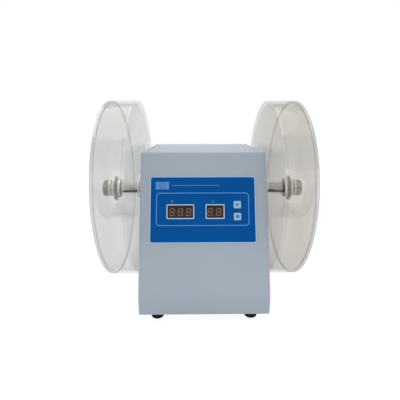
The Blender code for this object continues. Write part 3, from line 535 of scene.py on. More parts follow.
def moulded(name, colour, roughness=0.45, grainScale=1500, grain=0.02 * mm, wear=0.15, gloss=0.5):
    # moulded plastic or rubber: a fine grain, and slightly paler where it is handled
    make = Maker(name)
    fine = make.noise(grainScale, 3)
    cloud = make.noise(45, 3).ramp(0.35, 0.75)
    pale = tuple(min(1, share * 1.35 + 0.01) for share in linear(*colour))
    base = make.blend(cloud * wear + fine * 0.1, linear(*colour), pale)
    return make.finish(Base_Color=base, Roughness=roughness + 0.1 * cloud, Normal=make.bump(fine, grain),
                       Specular_IOR_Level=gloss)


def boardGreen():
    # solder mask over a net of tracks
    make = Maker("circuit board")
    x, y, z = make.axes()
    tracks = ((x * 420).sine() * (y * 390 + z * 310).sine()).ramp(0.55, 0.65)
    base = make.blend(tracks, linear(22, 92, 48), linear(58, 134, 84))
    return make.finish(Base_Color=base, Roughness=0.36 + 0.1 * make.noise(90),
                       Normal=make.bump(tracks, 0.03 * mm))


def darkWindow():
    # smoked plastic in front of a display
    make = Maker("dark window")
    cloud = make.noise(60, 2)
    base = make.blend(cloud, linear(34, 26, 21), linear(48, 36, 31))
    return make.finish(Base_Color=base, Roughness=0.16 + 0.05 * cloud, Normal=make.bump(cloud, 0.01 * mm),
                       Specular_IOR_Level=0.1)


def segmentPlastic():
    # unlit segments behind the window
    make = Maker("display segment")
    cloud = make.noise(900, 1)
    base = make.blend(cloud, linear(108, 90, 80), linear(126, 106, 94))
    return make.finish(Base_Color=base, Roughness=0.4 + 0.05 * cloud, Specular_IOR_Level=0.2)


paints = {
    "housing": housingPaint(),
    "panel": panelFilm(),
    "acrylic_left": clearAcrylic("clear acrylic left", acrylic["left"]),
    # painted shade: the right drum's copy of the acrylic takes the darker, warmer tint
    "acrylic_right": clearAcrylic("clear acrylic right painted shade", acrylic["right"]),
    "vane": clearAcrylic("clear vane", acrylic["vane"], acrylic["vaneShare"]),
    "steel": turnedSteel("turned steel", (228, 227, 224)),
    "ground": turnedSteel("ground steel", (250, 250, 249), 0.2),
    "plate": platedSteel(),
    "bearing": turnedSteel("bearing steel", (206, 206, 206), 0.14),
    "grip": moulded("tan grip", (176, 167, 149), 0.42),
    "pale": moulded("pale moulding", (166, 188, 210), 0.42, 2200, 0.01 * mm, 0.1),
    "key": moulded("key cap", (134, 171, 206), 0.42, 2200, 0.01 * mm, 0.1),
    "mark": moulded("key mark", (66, 92, 130), 0.5),
    "black": moulded("black moulding", (32, 32, 34), 0.42),
    "white": moulded("white mark", (226, 226, 222), 0.5),
    "rubber": moulded("foot rubber", (17, 19, 24), 0.72, 1100, 0.05 * mm, 0.3, 0.12),
    "nylon": moulded("gear nylon", (222, 218, 204), 0.5),
    "brass": turnedSteel("machined brass", (208, 176, 108), 0.2),
    "board": boardGreen(),
    "window": darkWindow(),
    "segment": segmentPlastic(),
    "transformer": moulded("transformer laminations", (92, 84, 74), 0.5, 300, 0.2 * mm),
}


def pair(*kinds):
    # the left and the right node of each kind
    return [kind + "_" + name for kind in kinds for name, _ in sides]


nodePaint = {
    "housing": ["housing_cover", "rear_panel"],
    "panel": ["control_overlay"],
    "acrylic_left": ["drum_disc_left", "drum_rim_left", "drum_lid_left"],
    "acrylic_right": ["drum_disc_right", "drum_rim_right", "drum_lid_right"],
    "vane": pair("drum_vane"),
    "steel": pair("hub_sleeve", "inner_washer", "outer_washer", "knob_insert", "shaft_collar"),
    "ground": ["main_shaft"],
    "bearing": pair("ball_bearing", "bearing_housing"),
    "plate": ["base_plate", "motor_bracket", *pair("board_rail", "bearing_frame")],
    "grip": pair("knob_grip"),
    "pale": ["display_bezel_three_digit", "display_bezel_two_digit"],
    "key": ["key_upper", "key_lower"],
    "window": ["display_three_digit", "display_two_digit"],
    "black": ["key_switch_upper", "key_switch_lower", "drive_motor", "optical_sensor", "power_inlet",
              "switch_frame", "fuse_holder", "encoder_disc", "switch_rocker", "fuse_cap"],
    "rubber": pair("foot_front", "foot_rear"),
    "nylon": ["driven_gear"],
    "brass": ["drive_pinion"],
    "board": ["control_board", "power_board"],
    "transformer": ["transformer"],
}
for finish, names in nodePaint.items():
    for name in names:
        nodes[name].data.materials.clear()
        nodes[name].data.materials.append(paints[finish])
print("materials made:", len(paints))


# Housing cover: one bent sheet with its sides, openings and wall

coverLow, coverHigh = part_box("housing_cover")
cover = dict(wall=2 * mm, sideEdge=3 * mm, topFillet=4 * mm, bendFillet=30 * mm, slopeTopY=-66 * mm,
             skirtTop=39 * mm, topRows=(20 * mm, 170 * mm, 7), footRows=14, collarHole=12 * mm,
             rearBorder=14 * mm, sideSteps=6, arcStep=radians(5), keyHole=12 * mm, bezelLap=1.7 * mm,
             onPlane=0.5 * mm, sharp=radians(30))


def filletPath(corners, radii, marks):
    # an open path whose inner corners are arcs, sampled at its own points and at marked distances along
    # its straight runs; gives points and left-hand normals
    corners = np.array(corners, float)
    on = np.diff(corners, axis=0)
    lengths = np.linalg.norm(on, axis=1)
    on = on / lengths[:, None]
    bends = [atan2(back[0] * ahead[1] - back[1] * ahead[0], back @ ahead) for back, ahead in zip(on, on[1:])]
    reaches = [0, *[radius * tan(abs(bend) / 2) for radius, bend in zip(radii, bends)], 0]
    points, normals = [], []
    for i, length in enumerate(lengths):
        normal = np.array([-on[i][1], on[i][0]])
        start, end = reaches[i], length - reaches[i + 1]
        spots = np.array([start, *[mark for mark in marks[i] if start < mark < end], end])
        run = corners[i] + on[i] * spots[:, None]
        points.append(run)
        normals.append(np.repeat(normal[None, :], len(run), 0))
        if i < len(bends):
            side = 1 if bends[i] > 0 else -1
            centre = run[-1] + normal * side * radii[i]
            count = max(2, int(abs(bends[i]) / cover["arcStep"]))
            turn = atan2(normal[1], normal[0]) + bends[i] * np.linspace(0, 1, count + 1)[1:-1]
            arcNormal = np.stack([np.cos(turn), np.sin(turn)], 1)
            points.append(centre - side * radii[i] * arcNormal)
            normals.append(arcNormal)
    return np.concatenate(points), np.concatenate(normals)


def coverOpenings(bend, slope):
    # each opening on the slope as low x, high x, and its start and end along the slope from the bend
    spans = []
    for node in ("display_bezel_three_digit", "display_bezel_two_digit", "key_upper", "key_lower"):
        if node.startswith("key"):
            centre, width, height = keyTop(node), cover["keyHole"], cover["keyHole"]
        else:
            width, height, _, centre = tiltedSize(node)
            width, height = width - 2 * cover["bezelLap"], height - 2 * cover["bezelLap"]
        along = (np.array([centre.y, centre.z]) - bend) @ slope
        spans.append((centre.x - width / 2, centre.x + width / 2, along - height / 2, along + height / 2))
    return spans


def housingCover():
    # rows follow the side outline, columns cross the housing; near its sides the sheet draws in by a
    # quarter round, and each side wall spans from that edge to the collar's hole
    half = coverHigh.x
    foot, top, front, rear = coverLow.z, coverHigh.z, coverLow.y, coverHigh.y
    border = cover["rearBorder"]
    bend, slope = np.array([front, cover["skirtTop"]]), np.array([slopeUp.y, slopeUp.z])
    corners = [(front, foot), bend, (cover["slopeTopY"], top), (rear, top), (rear, foot)]
    spans = coverOpenings(bend, slope)
    slopeMarks = sorted({mark for span in spans for mark in span[2:]})
    marks = [[], slopeMarks, np.linspace(*cover["topRows"]).tolist(), [border, top - foot - border]]
    path, normal = filletPath(corners, [cover["bendFillet"], *[cover["topFillet"]] * 2], marks)

    turns = np.linspace(0, pi / 2, cover["sideSteps"] + 1)
    edge = cover["sideEdge"]
    sideX, drawn = half - edge + edge * np.sin(turns), edge * (1 - np.cos(turns))
    between = sorted({x for span in spans for x in span[:2]} | {border - half, half - border})
    columns = np.concatenate([-sideX[::-1], between, sideX])
    inset = np.concatenate([drawn[::-1], np.zeros(len(between)), drawn])
    flat = path[:, None, :] - normal[:, None, :] * inset[None, :, None]
    flat[0, :, 1] = flat[-1, :, 1] = foot
    sheet = np.stack([np.broadcast_to(columns[None, :], flat.shape[:2]), flat[..., 0], flat[..., 1]], -1)
    quads = gridFaces(len(path), len(columns), False, False).reshape(len(path) - 1, len(columns) - 1, 4)
    middle = (sheet[:-1, :-1] + sheet[1:, 1:]) / 2
    x, y, z = middle[..., 0], middle[..., 1], middle[..., 2]
    fromBend = middle[..., 1:] - bend
    along, off = fromBend @ slope, abs(fromBend @ np.array([slope[1], -slope[0]]))
    keep = np.ones(along.shape, bool)
    for low, high, start, end in spans:
        keep &= ~((off < cover["onPlane"]) & (x > low) & (x < high) & (along > start) & (along < end))
    inRear = (abs(x) < half - border) & (z > foot + border) & (z < top - border)
    keep &= ~((y > rear - cover["onPlane"]) & inRear)

    shapes = [(sheet.reshape(-1, 3), quads[keep])]
    for side, column in ((-1, 0), (1, len(columns) - 1)):
        outline = sheet[:, column, 1:]
        outline = np.concatenate([outline, np.linspace(outline[-1], outline[0], cover["footRows"])[1:-1]])
        spoke = outline - np.array([0, axisZ])
        ring = np.array([0, axisZ]) + spoke / np.linalg.norm(spoke, axis=1)[:, None] * cover["collarHole"]
        wall = np.stack([outline, ring])
        points = np.concatenate([np.full((*wall.shape[:2], 1), side * half), wall], -1)
        shapes.append((points.reshape(-1, 3), gridFaces(2, len(outline))))
    shell = addObject("shell", cleanMesh("shell", joined(*shapes), cover["sharp"]))
    centre = Vector((0, 0, (foot + top) / 2))
    if sum(face.normal.dot(face.center - centre) * face.area for face in shell.data.polygons) < 0:
        shell.data.flip_normals()
    wall = shell.modifiers.new("wall", "SOLIDIFY")
    wall.thickness, wall.offset, wall.use_even_offset = cover["wall"], -1, True
    mesh = bpy.data.meshes.new_from_object(shell.evaluated_get(bpy.context.evaluated_depsgraph_get()))
    bpy.data.objects.remove(shell)
    mesh.shade_smooth()
    mesh.set_sharp_from_angle(angle=cover["sharp"])
    return mesh


addPiece("housingCover", housingCover(), "housing", "housing", ("housing_cover",))
print("cover made")


# Control panel: bezels, digits, keys

digit = dict(height=11.5 * mm, width=7.3 * mm, bar=1.25 * mm, gap=0.2 * mm, slant=radians(8), drop=0.7 * mm,
             pointRadius=0.5 * mm, pointAt=(4.5 * mm, -5.0 * mm))
inlay = dict(sunk=-0.1 * mm, proud=0.05 * mm, edge=0.02 * mm)
bezel = dict(border=1.6 * mm, recess=0.4 * mm, less=0.6 * mm)
keyLook = dict(side=11.2 * mm, corner=2 * mm, edge=0.7 * mm, deep=7.5 * mm,
               flange=(14.5 * mm, 14.5 * mm, 1 * mm), flangeSpan=(-5.5 * mm, -4.5 * mm),
               triangle=(2.08 * mm, 2.6 * mm), square=4.42 * mm, markCorner=0.3 * mm)
# each display's number of digits, their pitch, and how far they stand from its middle
displays = {"three_digit": (3, 12.25 * mm, 0), "two_digit": (2, 12.8 * mm, -1 * mm)}


def inlaid(outline):
    # a thin flat shape let into a face: a digit's bar or a key's mark
    return slab(outline, inlay["sunk"], inlay["proud"], inlay["edge"], 1)


def segmentBars(centreX, row):
    # seven bars with pointed ends, leaning to the right by the tangent of the slant
    halfHeight, halfWidth, half = digit["height"] / 2, digit["width"] / 2, digit["bar"] / 2
    across = digit["width"] - digit["bar"] - 2 * digit["gap"]
    along = halfHeight - half - 2 * digit["gap"]
    middles = [(0, halfHeight - half, across, 0), (0, 0, across, 0), (0, half - halfHeight, across, 0)]
    middles += [(x, y, along, 1) for x in (half - halfWidth, halfWidth - half)
                for y in ((halfHeight - half) / 2, (half - halfHeight) / 2)]
    bars = []
    for x, y, length, standing in middles:
        reach = length / 2
        bar = np.array([(-reach, 0), (half - reach, -half), (reach - half, -half), (reach, 0),
                        (reach - half, half), (half - reach, half)])
        bar = (bar @ np.array([[0, 1], [-1, 0]]) if standing else bar) + (x, y)
        bar[:, 0] += bar[:, 1] * tan(digit["slant"])
        bars.append(inlaid(bar + (centreX, row)))
    return joined(*bars)


for kind, (count, pitch, shift) in displays.items():
    width, height, thick, centre = tiltedSize("display_bezel_" + kind)
    shape = windowFrame(width - bezel["less"], height - bezel["less"], bezel["border"], -thick / 2, thick / 2)
    addPiece("windowBezel_" + kind, onSlope(shape, centre), "housing", "pale", ("display_bezel_" + kind,))
    face = centre + slopeOut * (thick / 2 - bezel["recess"])
    places = shift + (np.arange(count) - (count - 1) / 2) * pitch
    digits = joined(*[segmentBars(x, -digit["drop"]) for x in places])
    addPiece("digits_" + kind, onSlope(digits, face), "housing", "segment")
    point = turned([(inlay["sunk"], 0), (inlay["sunk"], digit["pointRadius"]),
                    (inlay["proud"], digit["pointRadius"]), (inlay["proud"], 0)], 16, False)
    right, low = digit["pointAt"]
    points = joined(*[placed(point, (x + right, low - digit["drop"], 0)) for x in places])
    addPiece("points_" + kind, onSlope(points, face), "housing", "segment")

back, tip = keyLook["triangle"]
triangle = softLoop([(-back, -tip), (tip, 0), (-back, tip)], keyLook["markCorner"])
square = rectangle(keyLook["square"], keyLook["square"], keyLook["markCorner"])
for kind, outline in (("upper", triangle), ("lower", square)):
    node = "key_" + kind
    body = slab(rectangle(keyLook["side"], keyLook["side"], keyLook["corner"]), -keyLook["deep"], 0,
                keyLook["edge"], 5)
    flange = slab(rectangle(*keyLook["flange"]), *keyLook["flangeSpan"], bothEdges=True)
    addPiece("keyCap_" + kind, onSlope(joined(body, flange), keyTop(node)), node, "key", (node,))
    addPiece("keyMark_" + kind, onSlope(inlaid(outline), keyTop(node)), node, "mark")
print("control panel made")


# Drums: disc with rim, lid and vane, and the sleeve and washer that hold them

drum = dict(edge=0.5 * mm, joint=0.6 * mm, boreEdge=0.2 * mm, steps=256, bore=6.3 * mm, wall=4.5 * mm)
vane = dict(bulge=43.7 * mm, thick=4 * mm, ring=12.5 * mm, bore=9.3 * mm, rimAngle=radians(168), steps=64,
            flangeRoom=18.3 * mm, washerRoom=16.3 * mm, inRing=12.1 * mm, room=0.3 * mm, edge=0.3 * mm)
hub = dict(bore=6.3 * mm, sleeve=9 * mm, flangeThick=3 * mm, edge=0.4 * mm, boreEdge=0.1 * mm,
           rootEdge=0.5 * mm, endEdge=0.3 * mm)


def ringLoop(start, end, bore, outer):
    return [(start, bore), (start, outer), (end, outer), (end, bore)]


def drumVane(name, side):
    # the hollow side is a circle through the shaft's line that bulges from its chord, the rim's radius; an
    # arc of radius rho meets a circle of radius r about the shaft at an angle by the cosine rule. The rows
    # are the arc's outline at stations along the shaft: it starts just inside the ring, and its root steps
    # back for the flange and the washer.
    near, far, _ = spanOf("drum_vane_" + name, side)
    flangeEnd = near + hub["flangeThick"] + vane["room"]
    washerStart = spanOf("inner_washer_" + name, side)[0] - vane["room"]
    tip = spanOf("drum_disc_" + name, side)[2] - drum["wall"] - vane["room"]
    inside = (tip * tip / 4 + vane["bulge"] ** 2) / (2 * vane["bulge"])
    toward = vane["rimAngle"] - acos(tip / 2 / inside)
    centre = np.array([inside * cos(toward), inside * sin(toward)])

    def meets(rho, r):
        return toward + acos((r * r - inside ** 2 - rho * rho) / (2 * inside * rho))

    def outline(root):
        arcs = []
        for rho in (inside, inside + vane["thick"]):
            turn = np.linspace(meets(rho, vane["inRing"]), meets(rho, tip), vane["steps"])
            stepBack = np.maximum if turn[-1] > turn[0] else np.minimum
            turn = stepBack(turn, meets(rho, root))
            arcs.append(centre + rho * np.stack([np.cos(turn), np.sin(turn)], 1))
        return np.concatenate([arcs[0], arcs[1][::-1]])

    rows = [(near, vane["flangeRoom"]), (flangeEnd, vane["flangeRoom"]), (flangeEnd, vane["inRing"]),
            (washerStart, vane["inRing"]), (washerStart, vane["washerRoom"]), (far, vane["washerRoom"])]
    flat = np.stack([outline(root) for _, root in rows]) * (side, 1)
    height = np.broadcast_to(np.array([place for place, _ in rows])[:, None, None], (*flat.shape[:2], 1))
    count, steps = flat.shape[1], vane["steps"]
    faces = gridFaces(len(rows), count).tolist()
    ends = gridFaces(2, steps, False, False)
    ends = np.where(ends < steps, ends, count + steps - 1 - ends)
    for first in (0, (len(rows) - 1) * count):
        faces += (ends + first).tolist()
    arc = np.concatenate([flat, height], -1).reshape(-1, 3), faces
    ring = turned(softLoop(ringLoop(flangeEnd, washerStart, vane["bore"], vane["ring"]), vane["edge"]), 96)
    return joined(arc, ring)


for name, side in sides:
    discStart, discEnd, radius = spanOf("drum_disc_" + name, side)
    _, rimEnd, _ = spanOf("drum_rim_" + name, side)
    bore, inner, edge = drum["bore"], radius - drum["wall"], drum["edge"]
    loop = [(discStart, bore), (discStart, radius), (rimEnd, radius), (rimEnd, inner), (discEnd, inner),
            (discEnd, bore)]
    edges = [drum["boreEdge"], edge, edge, edge / 2, drum["joint"], drum["boreEdge"]]
    addRound("drumBody_" + name, side, loop, edges, "rotor", "acrylic_" + name,
             ("drum_disc_" + name, "drum_rim_" + name), drum["steps"])
    start, end, _ = spanOf("drum_lid_" + name, side)
    addRound("drumLid_" + name, side, ringLoop(start, end, bore, radius), edge, "lid_" + name,
             "acrylic_" + name, ("drum_lid_" + name,), drum["steps"])
    addPiece("drumVane_" + name, onShaft(drumVane(name, side), side), "rotor", "vane", ("drum_vane_" + name,))

    start, end, flange = spanOf("hub_sleeve_" + name, side)
    seat = start + hub["flangeThick"]
    bore, sleeve = hub["bore"], hub["sleeve"]
    loop = [(start, bore), (start, flange), (seat, flange), (seat, sleeve), (end, sleeve), (end, bore)]
    edges = [hub["boreEdge"], hub["edge"], hub["edge"], hub["rootEdge"], hub["endEdge"], hub["boreEdge"]]
    addRound("hubSleeve_" + name, side, loop, edges, "rotor", "steel", ("hub_sleeve_" + name,))
    start, end, outer = spanOf("inner_washer_" + name, side)
    addRound("innerWasher_" + name, side, ringLoop(start, end, bore, outer), hub["edge"], "rotor", "steel",
             ("inner_washer_" + name,))
print("drums made")


# Hand nuts: washer, steel insert and fluted grip

washer = dict(edge=0.4 * mm, groove=0.35 * mm, border=4 * mm, slope=1 * mm, seat=7.5 * mm)
# edges here and below are the radii of a loop's corners, in millimetres
nut = dict(bore=5.3 * mm, neck=6.5 * mm, neckLength=5.7 * mm, flangeThick=3 * mm, core=8 * mm,
           edges=(0.2, 0.5, 0.5, 0.6, 0.6, 0.2, 0.4, 0.3))
grip = dict(bore=8.3 * mm, boreEdge=0.4 * mm, flutes=20, depth=0.7 * mm, plain=0.3 * mm, edge=1.5 * mm,
            dishRadius=8 * mm, dishSlope=1.5 * mm, dishEdge=0.8 * mm, dish=1 * mm, cap=2.7 * mm, steps=240)


def flutes(low, high, outer):
    # scallops in the outer wall, which fade out towards both faces
    def cut(height, radius, turn):
        rise = np.clip((height - low) / mm, 0, 1) * np.clip((high - height) / mm, 0, 1)
        wave = 0.5 - 0.5 * np.cos(grip["flutes"] * turn)
        return grip["depth"] * rise * (radius > outer * 0.8) * wave ** 2
    return cut


for name, side in sides:
    body, bore = "nut_" + name, nut["bore"]
    start, end, outer = spanOf("outer_washer_" + name, side)
    groove, slope, seat = end - washer["groove"], washer["slope"], washer["seat"]
    border = outer - washer["border"]
    loop = [(start, bore), (start, outer), (end, outer), (end, border), (groove, border - slope),
            (groove, seat + slope), (end, seat), (end, bore)]
    addRound("outerWasher_" + name, side, loop, washer["edge"], body, "steel", ("outer_washer_" + name,))

    start, end, outer = spanOf("knob_insert_" + name, side)
    neckEnd = start + nut["neckLength"]
    flangeEnd = neckEnd + nut["flangeThick"]
    loop = [(start, bore), (start, nut["neck"]), (neckEnd, nut["neck"]), (neckEnd, outer), (flangeEnd, outer),
            (flangeEnd, nut["core"]), (end, nut["core"]), (end, bore)]
    addRound("knobInsert_" + name, side, loop, np.array(nut["edges"]) * mm, body, "steel",
             ("knob_insert_" + name,))

    start, end, outer = spanOf("knob_grip_" + name, side)
    cap, floor, edge = end - grip["cap"], end - grip["dish"], grip["edge"]
    wall = [(height, outer) for height in np.linspace(start + 2 * edge, end - 2 * edge, 5)]
    loop = [(cap, 0), (cap, grip["bore"]), (start, grip["bore"]), (start, outer), *wall, (end, outer),
            (end, grip["dishRadius"]), (floor, grip["dishRadius"] - grip["dishSlope"]), (floor, 0)]
    edges = [0, *[grip["boreEdge"]] * 2, edge, *[0] * len(wall), edge, *[grip["dishEdge"]] * 2, 0]
    cut = flutes(start + grip["plain"], end - grip["plain"], outer)
    addPiece("knobGrip_" + name, onShaft(solidTurned(loop, edges, grip["steps"], 4, cut), side), body, "grip",
             ("knob_grip_" + name,))
print("hand nuts made")


# Shaft with its threaded ends, and collars on the housing

shaft = dict(end=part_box("main_shaft")[1].x, body=7.5 * mm, bodyEnd=105.7 * mm, seat=6 * mm, seatEnd=152 * mm,
             edge=0.3 * mm, thread=5 * mm, pitch=1.5 * mm, threadDepth=0.5 * mm, threadStart=153.5 * mm,
             threadRows=110, chamfer=0.8 * mm)


def threadCut(height, radius, turn):
    # one start: a triangle wave of the height, less the turn's share of the pitch, alike at both ends
    phase = (height / shaft["pitch"] - turn / (2 * pi)) % 1
    out = abs(height)
    fade = np.clip((out - shaft["threadStart"]) / mm, 0, 1) * np.clip((shaft["end"] - out) / mm, 0, 1)
    return shaft["threadDepth"] * abs(2 * phase - 1) * fade


end, seatEnd, bodyEnd, edge = shaft["end"], shaft["seatEnd"], shaft["bodyEnd"], shaft["edge"]
threadSpan = np.linspace(end - shaft["chamfer"], seatEnd + edge, shaft["threadRows"])
half = [(end, 0), (end, shaft["thread"] - shaft["chamfer"])]
half += [(height, shaft["thread"]) for height in threadSpan]
half += [(seatEnd, shaft["thread"] + edge), (seatEnd, shaft["seat"] - edge), (seatEnd - edge, shaft["seat"]),
         (bodyEnd, shaft["seat"]), (bodyEnd, shaft["body"] - edge), (bodyEnd - edge, shaft["body"])]
profile = half + [(-height, radius) for height, radius in half[::-1]]
addPiece("mainShaft", onShaft(turned(profile, 64, False, threadCut)), "rotor", "ground", ("main_shaft",))

collar = dict(bore=7.8 * mm, spigot=11.7 * mm, room=0.3 * mm, groove=0.4 * mm,
              grooveSpan=(9.4 * mm, 11.6 * mm), screwCircle=14.6 * mm,
              edges=(0.3, 0.1, 0.1, 0.1, 0.1, 0.8, 0.2, 0.2, 0.2, 0.2))
# cross slotted heads: their radius, rise and depth of slot
screws = dict(collar=(1.6 * mm, 0.9 * mm, 0.45 * mm), inlet=(2.3 * mm, 1.2 * mm, 0.6 * mm),
              rear=(2.9 * mm, 1.6 * mm, 0.9 * mm))
for name, side in sides:
    start, end, outer = spanOf("shaft_collar_" + name, side)
    seat, deep = coverHigh.x + collar["room"], collar["groove"]
    bore, spigot = collar["bore"], collar["spigot"]
    low, high = collar["grooveSpan"]
    loop = [(end, bore), (end, low), (end - deep, low + deep), (end - deep, high - deep), (end, high),
            (end, outer), (seat, outer), (seat, spigot), (start, spigot), (start, bore)]
    addRound("shaftCollar_" + name, side, loop, np.array(collar["edges"]) * mm, "housing", "steel",
             ("shaft_collar_" + name,))
    heads = [placed(crossHead(*screws["collar"]),
                    (collar["screwCircle"] * cos(turn), collar["screwCircle"] * sin(turn), end))
             for turn in pi / 2 + 2 * pi / 3 * np.arange(3)]
    addPiece("collarScrews_" + name, onShaft(joined(*heads), side), "housing", "steel")
print("shaft and collars made")


# Feet

foot = dict(sole=6.5 * mm, soleEdge=0.4 * mm, topEdge=0.6 * mm, recess=3.6 * mm, recessDepth=3 * mm,
            recessEdge=0.3 * mm)
for node in nodePaint["rubber"]:
    low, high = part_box(node)
    outer, top = (high.x - low.x) / 2, high.z - low.z
    loop = [(foot["recessDepth"], 0), (foot["recessDepth"], foot["recess"] - foot["recessEdge"]),
            (0, foot["recess"]), (0, outer), (top, outer), (top, 0)]
    edges = [0, foot["recessEdge"], foot["soleEdge"], outer - foot["sole"], foot["topEdge"], 0]
    middle = (low.x + high.x) / 2, (low.y + high.y) / 2, low.z
    addPiece(node.replace("foot", "rubberFoot"), placed(solidTurned(loop, edges, 64, 6), middle), "housing",
             "rubber", (node,))
print("feet made")


# Rear: screws, the inlet's blades and screws, the rocker, the fuse cap

screwInset = 4 * mm             # from the rear panel's edges
low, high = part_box("rear_panel")
xs = (low.x + screwInset, high.x - screwInset)
zs = (low.z + screwInset, high.z - screwInset)
places = [(x, z) for x in xs for z in (*zs, (zs[0] + zs[1]) / 2)] + [(0, z) for z in zs]
heads = [onRear(crossHead(*screws["rear"]), x, high.y, z) for x, z in places]
addPiece("rearScrews", joined(*heads), "housing", "plate")

inlet = dict(blade=(2.1 * mm, 4.1 * mm, 0.4 * mm), bladeEdge=0.4 * mm, spread=7 * mm, row=2.5 * mm,
             screws=20 * mm, floor=16 * mm, lift=0.02 * mm, tip=5.45 * mm)
low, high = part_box("power_inlet")
x, z = (low.x + high.x) / 2, (low.z + high.z) / 2
blade = slab(rectangle(*inlet["blade"]), inlet["lift"] - inlet["floor"], -inlet["tip"], inlet["bladeEdge"], 3)
spread, row = inlet["spread"], inlet["row"]
bladePlaces = ((-spread, -row), (0, row), (spread, -row))
blades = [onRear(blade, x + across, high.y, z + up) for across, up in bladePlaces]
addPiece("inletBlades", joined(*blades), "housing", "bearing")
heads = [onRear(crossHead(*screws["inlet"]), x + side * inlet["screws"], high.y, z) for side in (-1, 1)]
addPiece("inletScrews", joined(*heads), "housing", "plate")

rocker = dict(width=10.2 * mm, half=7.2 * mm, rise=3.8 * mm, dip=2.2 * mm, belly=3.2 * mm, tilt=radians(10),
              hollow=0.25 * mm, corner=0.5 * mm, edge=0.3 * mm, signSpan=(-0.3 * mm, 0.12 * mm),
              lineSign=(0.7 * mm, 3.2 * mm, 0.1 * mm), ringSign=(0.95 * mm, 1.55 * mm))
pivot = Vector(joints["switch_rock"]["pos_m"])
rise, dip, halfRocker = rocker["rise"], rocker["dip"], rocker["half"]
tilted = np.array([[cos(rocker["tilt"]), sin(rocker["tilt"])], [-sin(rocker["tilt"]), cos(rocker["tilt"])]])
between = (rise + dip) / 2 - rocker["hollow"]
belly = [(rocker["belly"] * cos(turn), rocker["belly"] * sin(turn)) for turn in np.linspace(pi, 2 * pi, 13)]
drawn = [*belly, (halfRocker, rise), (halfRocker / 2, between), (0, dip), (-halfRocker / 2, between),
         (-halfRocker, rise)]
shape = slab(softLoop(drawn, rocker["corner"], 3) @ tilted, -rocker["width"] / 2, rocker["width"] / 2,
             rocker["edge"], 3, True)
addPiece("rockerBody", placed(shape, pivot, (0, 0, 1), (0, 1, 0)), "rocker", "black", ("switch_rocker",))
signLow, signHigh = rocker["signSpan"]
lineSign = slab(rectangle(*rocker["lineSign"]), signLow, signHigh, 0.02 * mm, 1)
ringSign = turned(ringLoop(signLow, signHigh, *rocker["ringSign"]), 40)
signs = []
for side, shape in ((1, lineSign), (-1, ringSign)):
    along, out = np.array([side * halfRocker / 2, between]) @ tilted
    lean = atan2(rise - dip, halfRocker) * side + rocker["tilt"]
    signs.append(placed(shape, pivot + Vector((0, out, along)), (-1, 0, 0), (0, sin(lean), cos(lean))))
addPiece("rockerSigns", joined(*signs), "rocker", "white")

fuse = dict(stem=3.9 * mm, ridges=24, ridge=0.35 * mm, dish=0.8 * mm, dishRim=0.62, dishFloor=0.5,
            headRoom=0.3 * mm, edges=(0, 0.5, 0.1, 0.5, 0.8, 0.4, 0.4, 0), steps=192)
low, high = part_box("fuse_cap")
capRadius, deep = (high.x - low.x) / 2, low.y - high.y
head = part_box("fuse_holder")[1].y + fuse["headRoom"] - high.y
loop = [(deep, 0), (deep, fuse["stem"]), (head, fuse["stem"]), (head, capRadius), (0, capRadius),
        (0, capRadius * fuse["dishRim"]), (-fuse["dish"], capRadius * fuse["dishFloor"]), (-fuse["dish"], 0)]


def ridges(height, radius, turn):
    # ridges round the cap's wall
    return fuse["ridge"] * (radius > capRadius * 0.9) * (0.5 - 0.5 * np.cos(fuse["ridges"] * turn))


shape = solidTurned(loop, np.array(fuse["edges"]) * mm, fuse["steps"], 4, ridges)
addPiece("fuseCap", onRear(shape, (low.x + high.x) / 2, high.y, (low.z + high.z) / 2), "fuse_carrier",
         "black", ("fuse_cap",))
print("rear pieces made")


# Camera, light and floor

lens = dict(height=113 * mm, back=547.5 * mm, left=12 * mm, pitch=radians(13.9), yaw=0.0137, focal=28.19,
            sensor=36)
camera = addObject("camera", bpy.data.cameras.new("camera"))
camera.data.lens = lens["focal"]
camera.data.sensor_width = lens["sensor"]
camera.location = (-lens["left"], -lens["back"], axisZ + lens["height"])
level = cos(lens["pitch"])
looking = Vector((sin(lens["yaw"]) * level, cos(lens["yaw"]) * level, -sin(lens["pitch"])))
camera.rotation_euler = looking.to_track_quat("-Z", "Y").to_euler()
bpy.context.scene.camera = camera

studio = dict(ambient=0.55, sky=(0.95, 0.97, 1.0, 1), floor=(0.92, 0.92, 0.92, 1), floorReach=4.0,
              floorKeep=0.22, floorLit=0.53)


def seenRay(tree):
    # 1 for camera, glossy and transmission rays, which see the white background
    seen = tree.nodes.new("ShaderNodeLightPath")
    first, second = tree.nodes.new("ShaderNodeMath"), tree.nodes.new("ShaderNodeMath")
    first.operation = second.operation = "MAXIMUM"
    tree.links.new(seen.outputs["Is Camera Ray"], first.inputs[0])
    tree.links.new(seen.outputs["Is Glossy Ray"], first.inputs[1])
    tree.links.new(first.outputs[0], second.inputs[0])
    tree.links.new(seen.outputs["Is Transmission Ray"], second.inputs[1])
    return second.outputs[0]


def mixInto(tree, output, share, lit, seen):
    # what lights the object, and what rays see, mixed into a tree's output
    mixed, end = tree.nodes.new("ShaderNodeMixShader"), tree.nodes.new(output)
    tree.links.new(share, mixed.inputs[0])
    tree.links.new(lit.outputs[0], mixed.inputs[1])
    tree.links.new(seen.outputs[0], mixed.inputs[2])
    tree.links.new(mixed.outputs[0], end.inputs[0])


world = bpy.data.worlds.new("studio")
bpy.context.scene.world = world
world.use_nodes = True
tree = world.node_tree
tree.nodes.clear()
ambient, white = tree.nodes.new("ShaderNodeBackground"), tree.nodes.new("ShaderNodeBackground")
ambient.inputs["Strength"].default_value = studio["ambient"]
ambient.inputs["Color"].default_value = studio["sky"]
white.inputs["Color"].default_value = (1, 1, 1, 1)
mixInto(tree, "ShaderNodeOutputWorld", seenRay(tree), ambient, white)

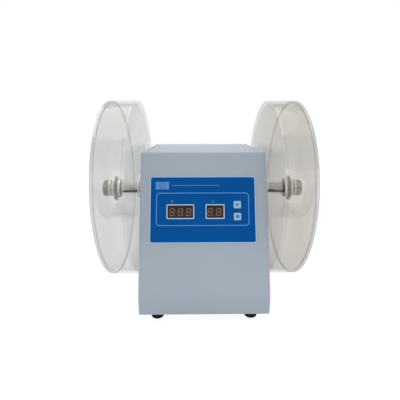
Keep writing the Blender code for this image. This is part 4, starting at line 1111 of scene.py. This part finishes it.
floorMesh = bpy.data.meshes.new("floor")
corners = np.array([(-1, -1, 0), (1, -1, 0), (1, 1, 0), (-1, 1, 0)]) * studio["floorReach"]
floorMesh.from_pydata(corners.tolist(), [], [(0, 1, 2, 3)])
floor = addObject("floor", floorMesh)
floorLook = bpy.data.materials.new("floor")
floorLook.use_nodes = True
tree = floorLook.node_tree
tree.nodes.clear()
diffuse, glow = tree.nodes.new("ShaderNodeBsdfDiffuse"), tree.nodes.new("ShaderNodeEmission")
diffuse.inputs["Color"].default_value = studio["floor"]
# the glow and the kept share of the lit floor add up to the background's white
glowShare = 1 - studio["floorKeep"]
glow.inputs["Strength"].default_value = (1 - studio["floorKeep"] * studio["floorLit"]) / glowShare
share = tree.nodes.new("ShaderNodeMath")
share.operation = "MULTIPLY"
share.inputs[1].default_value = glowShare
tree.links.new(seenRay(tree), share.inputs[0])
mixInto(tree, "ShaderNodeOutputMaterial", share.outputs[0], diffuse, glow)
floorMesh.materials.append(floorLook)

lamps = {
    "above": dict(place=(-0.2, 0.35, 1.8), aim=(0, 0, 0.1), size=2.0, power=17, colour=(1.0, 0.90, 0.80)),
    "front": dict(place=(0.1, -1.65, 0.5), aim=(0, 0, 0.15), size=1.4, power=5.5, colour=(1.0, 1.0, 1.0)),
    "right": dict(place=(1.6, 0.2, 0.75), aim=(0, 0, 0.15), size=1.9, power=17, colour=(1.0, 0.99, 0.97)),
    "left": dict(place=(-1.6, 0.2, 0.75), aim=(0, 0, 0.15), size=1.9, power=17, colour=(1.0, 1.0, 1.0)),
}
for name, lamp in lamps.items():
    light = bpy.data.lights.new("lamp_" + name, "AREA")
    light.shape, light.size = "DISK", lamp["size"]
    light.energy, light.color = lamp["power"], lamp["colour"]
    hung = addObject("lamp_" + name, light)
    hung.location = lamp["place"]
    toward = Vector(lamp["aim"]) - Vector(lamp["place"])
    hung.rotation_euler = toward.to_track_quat("-Z", "Y").to_euler()
bpy.context.scene.view_settings.view_transform = "Standard"
print("camera, light and floor made")
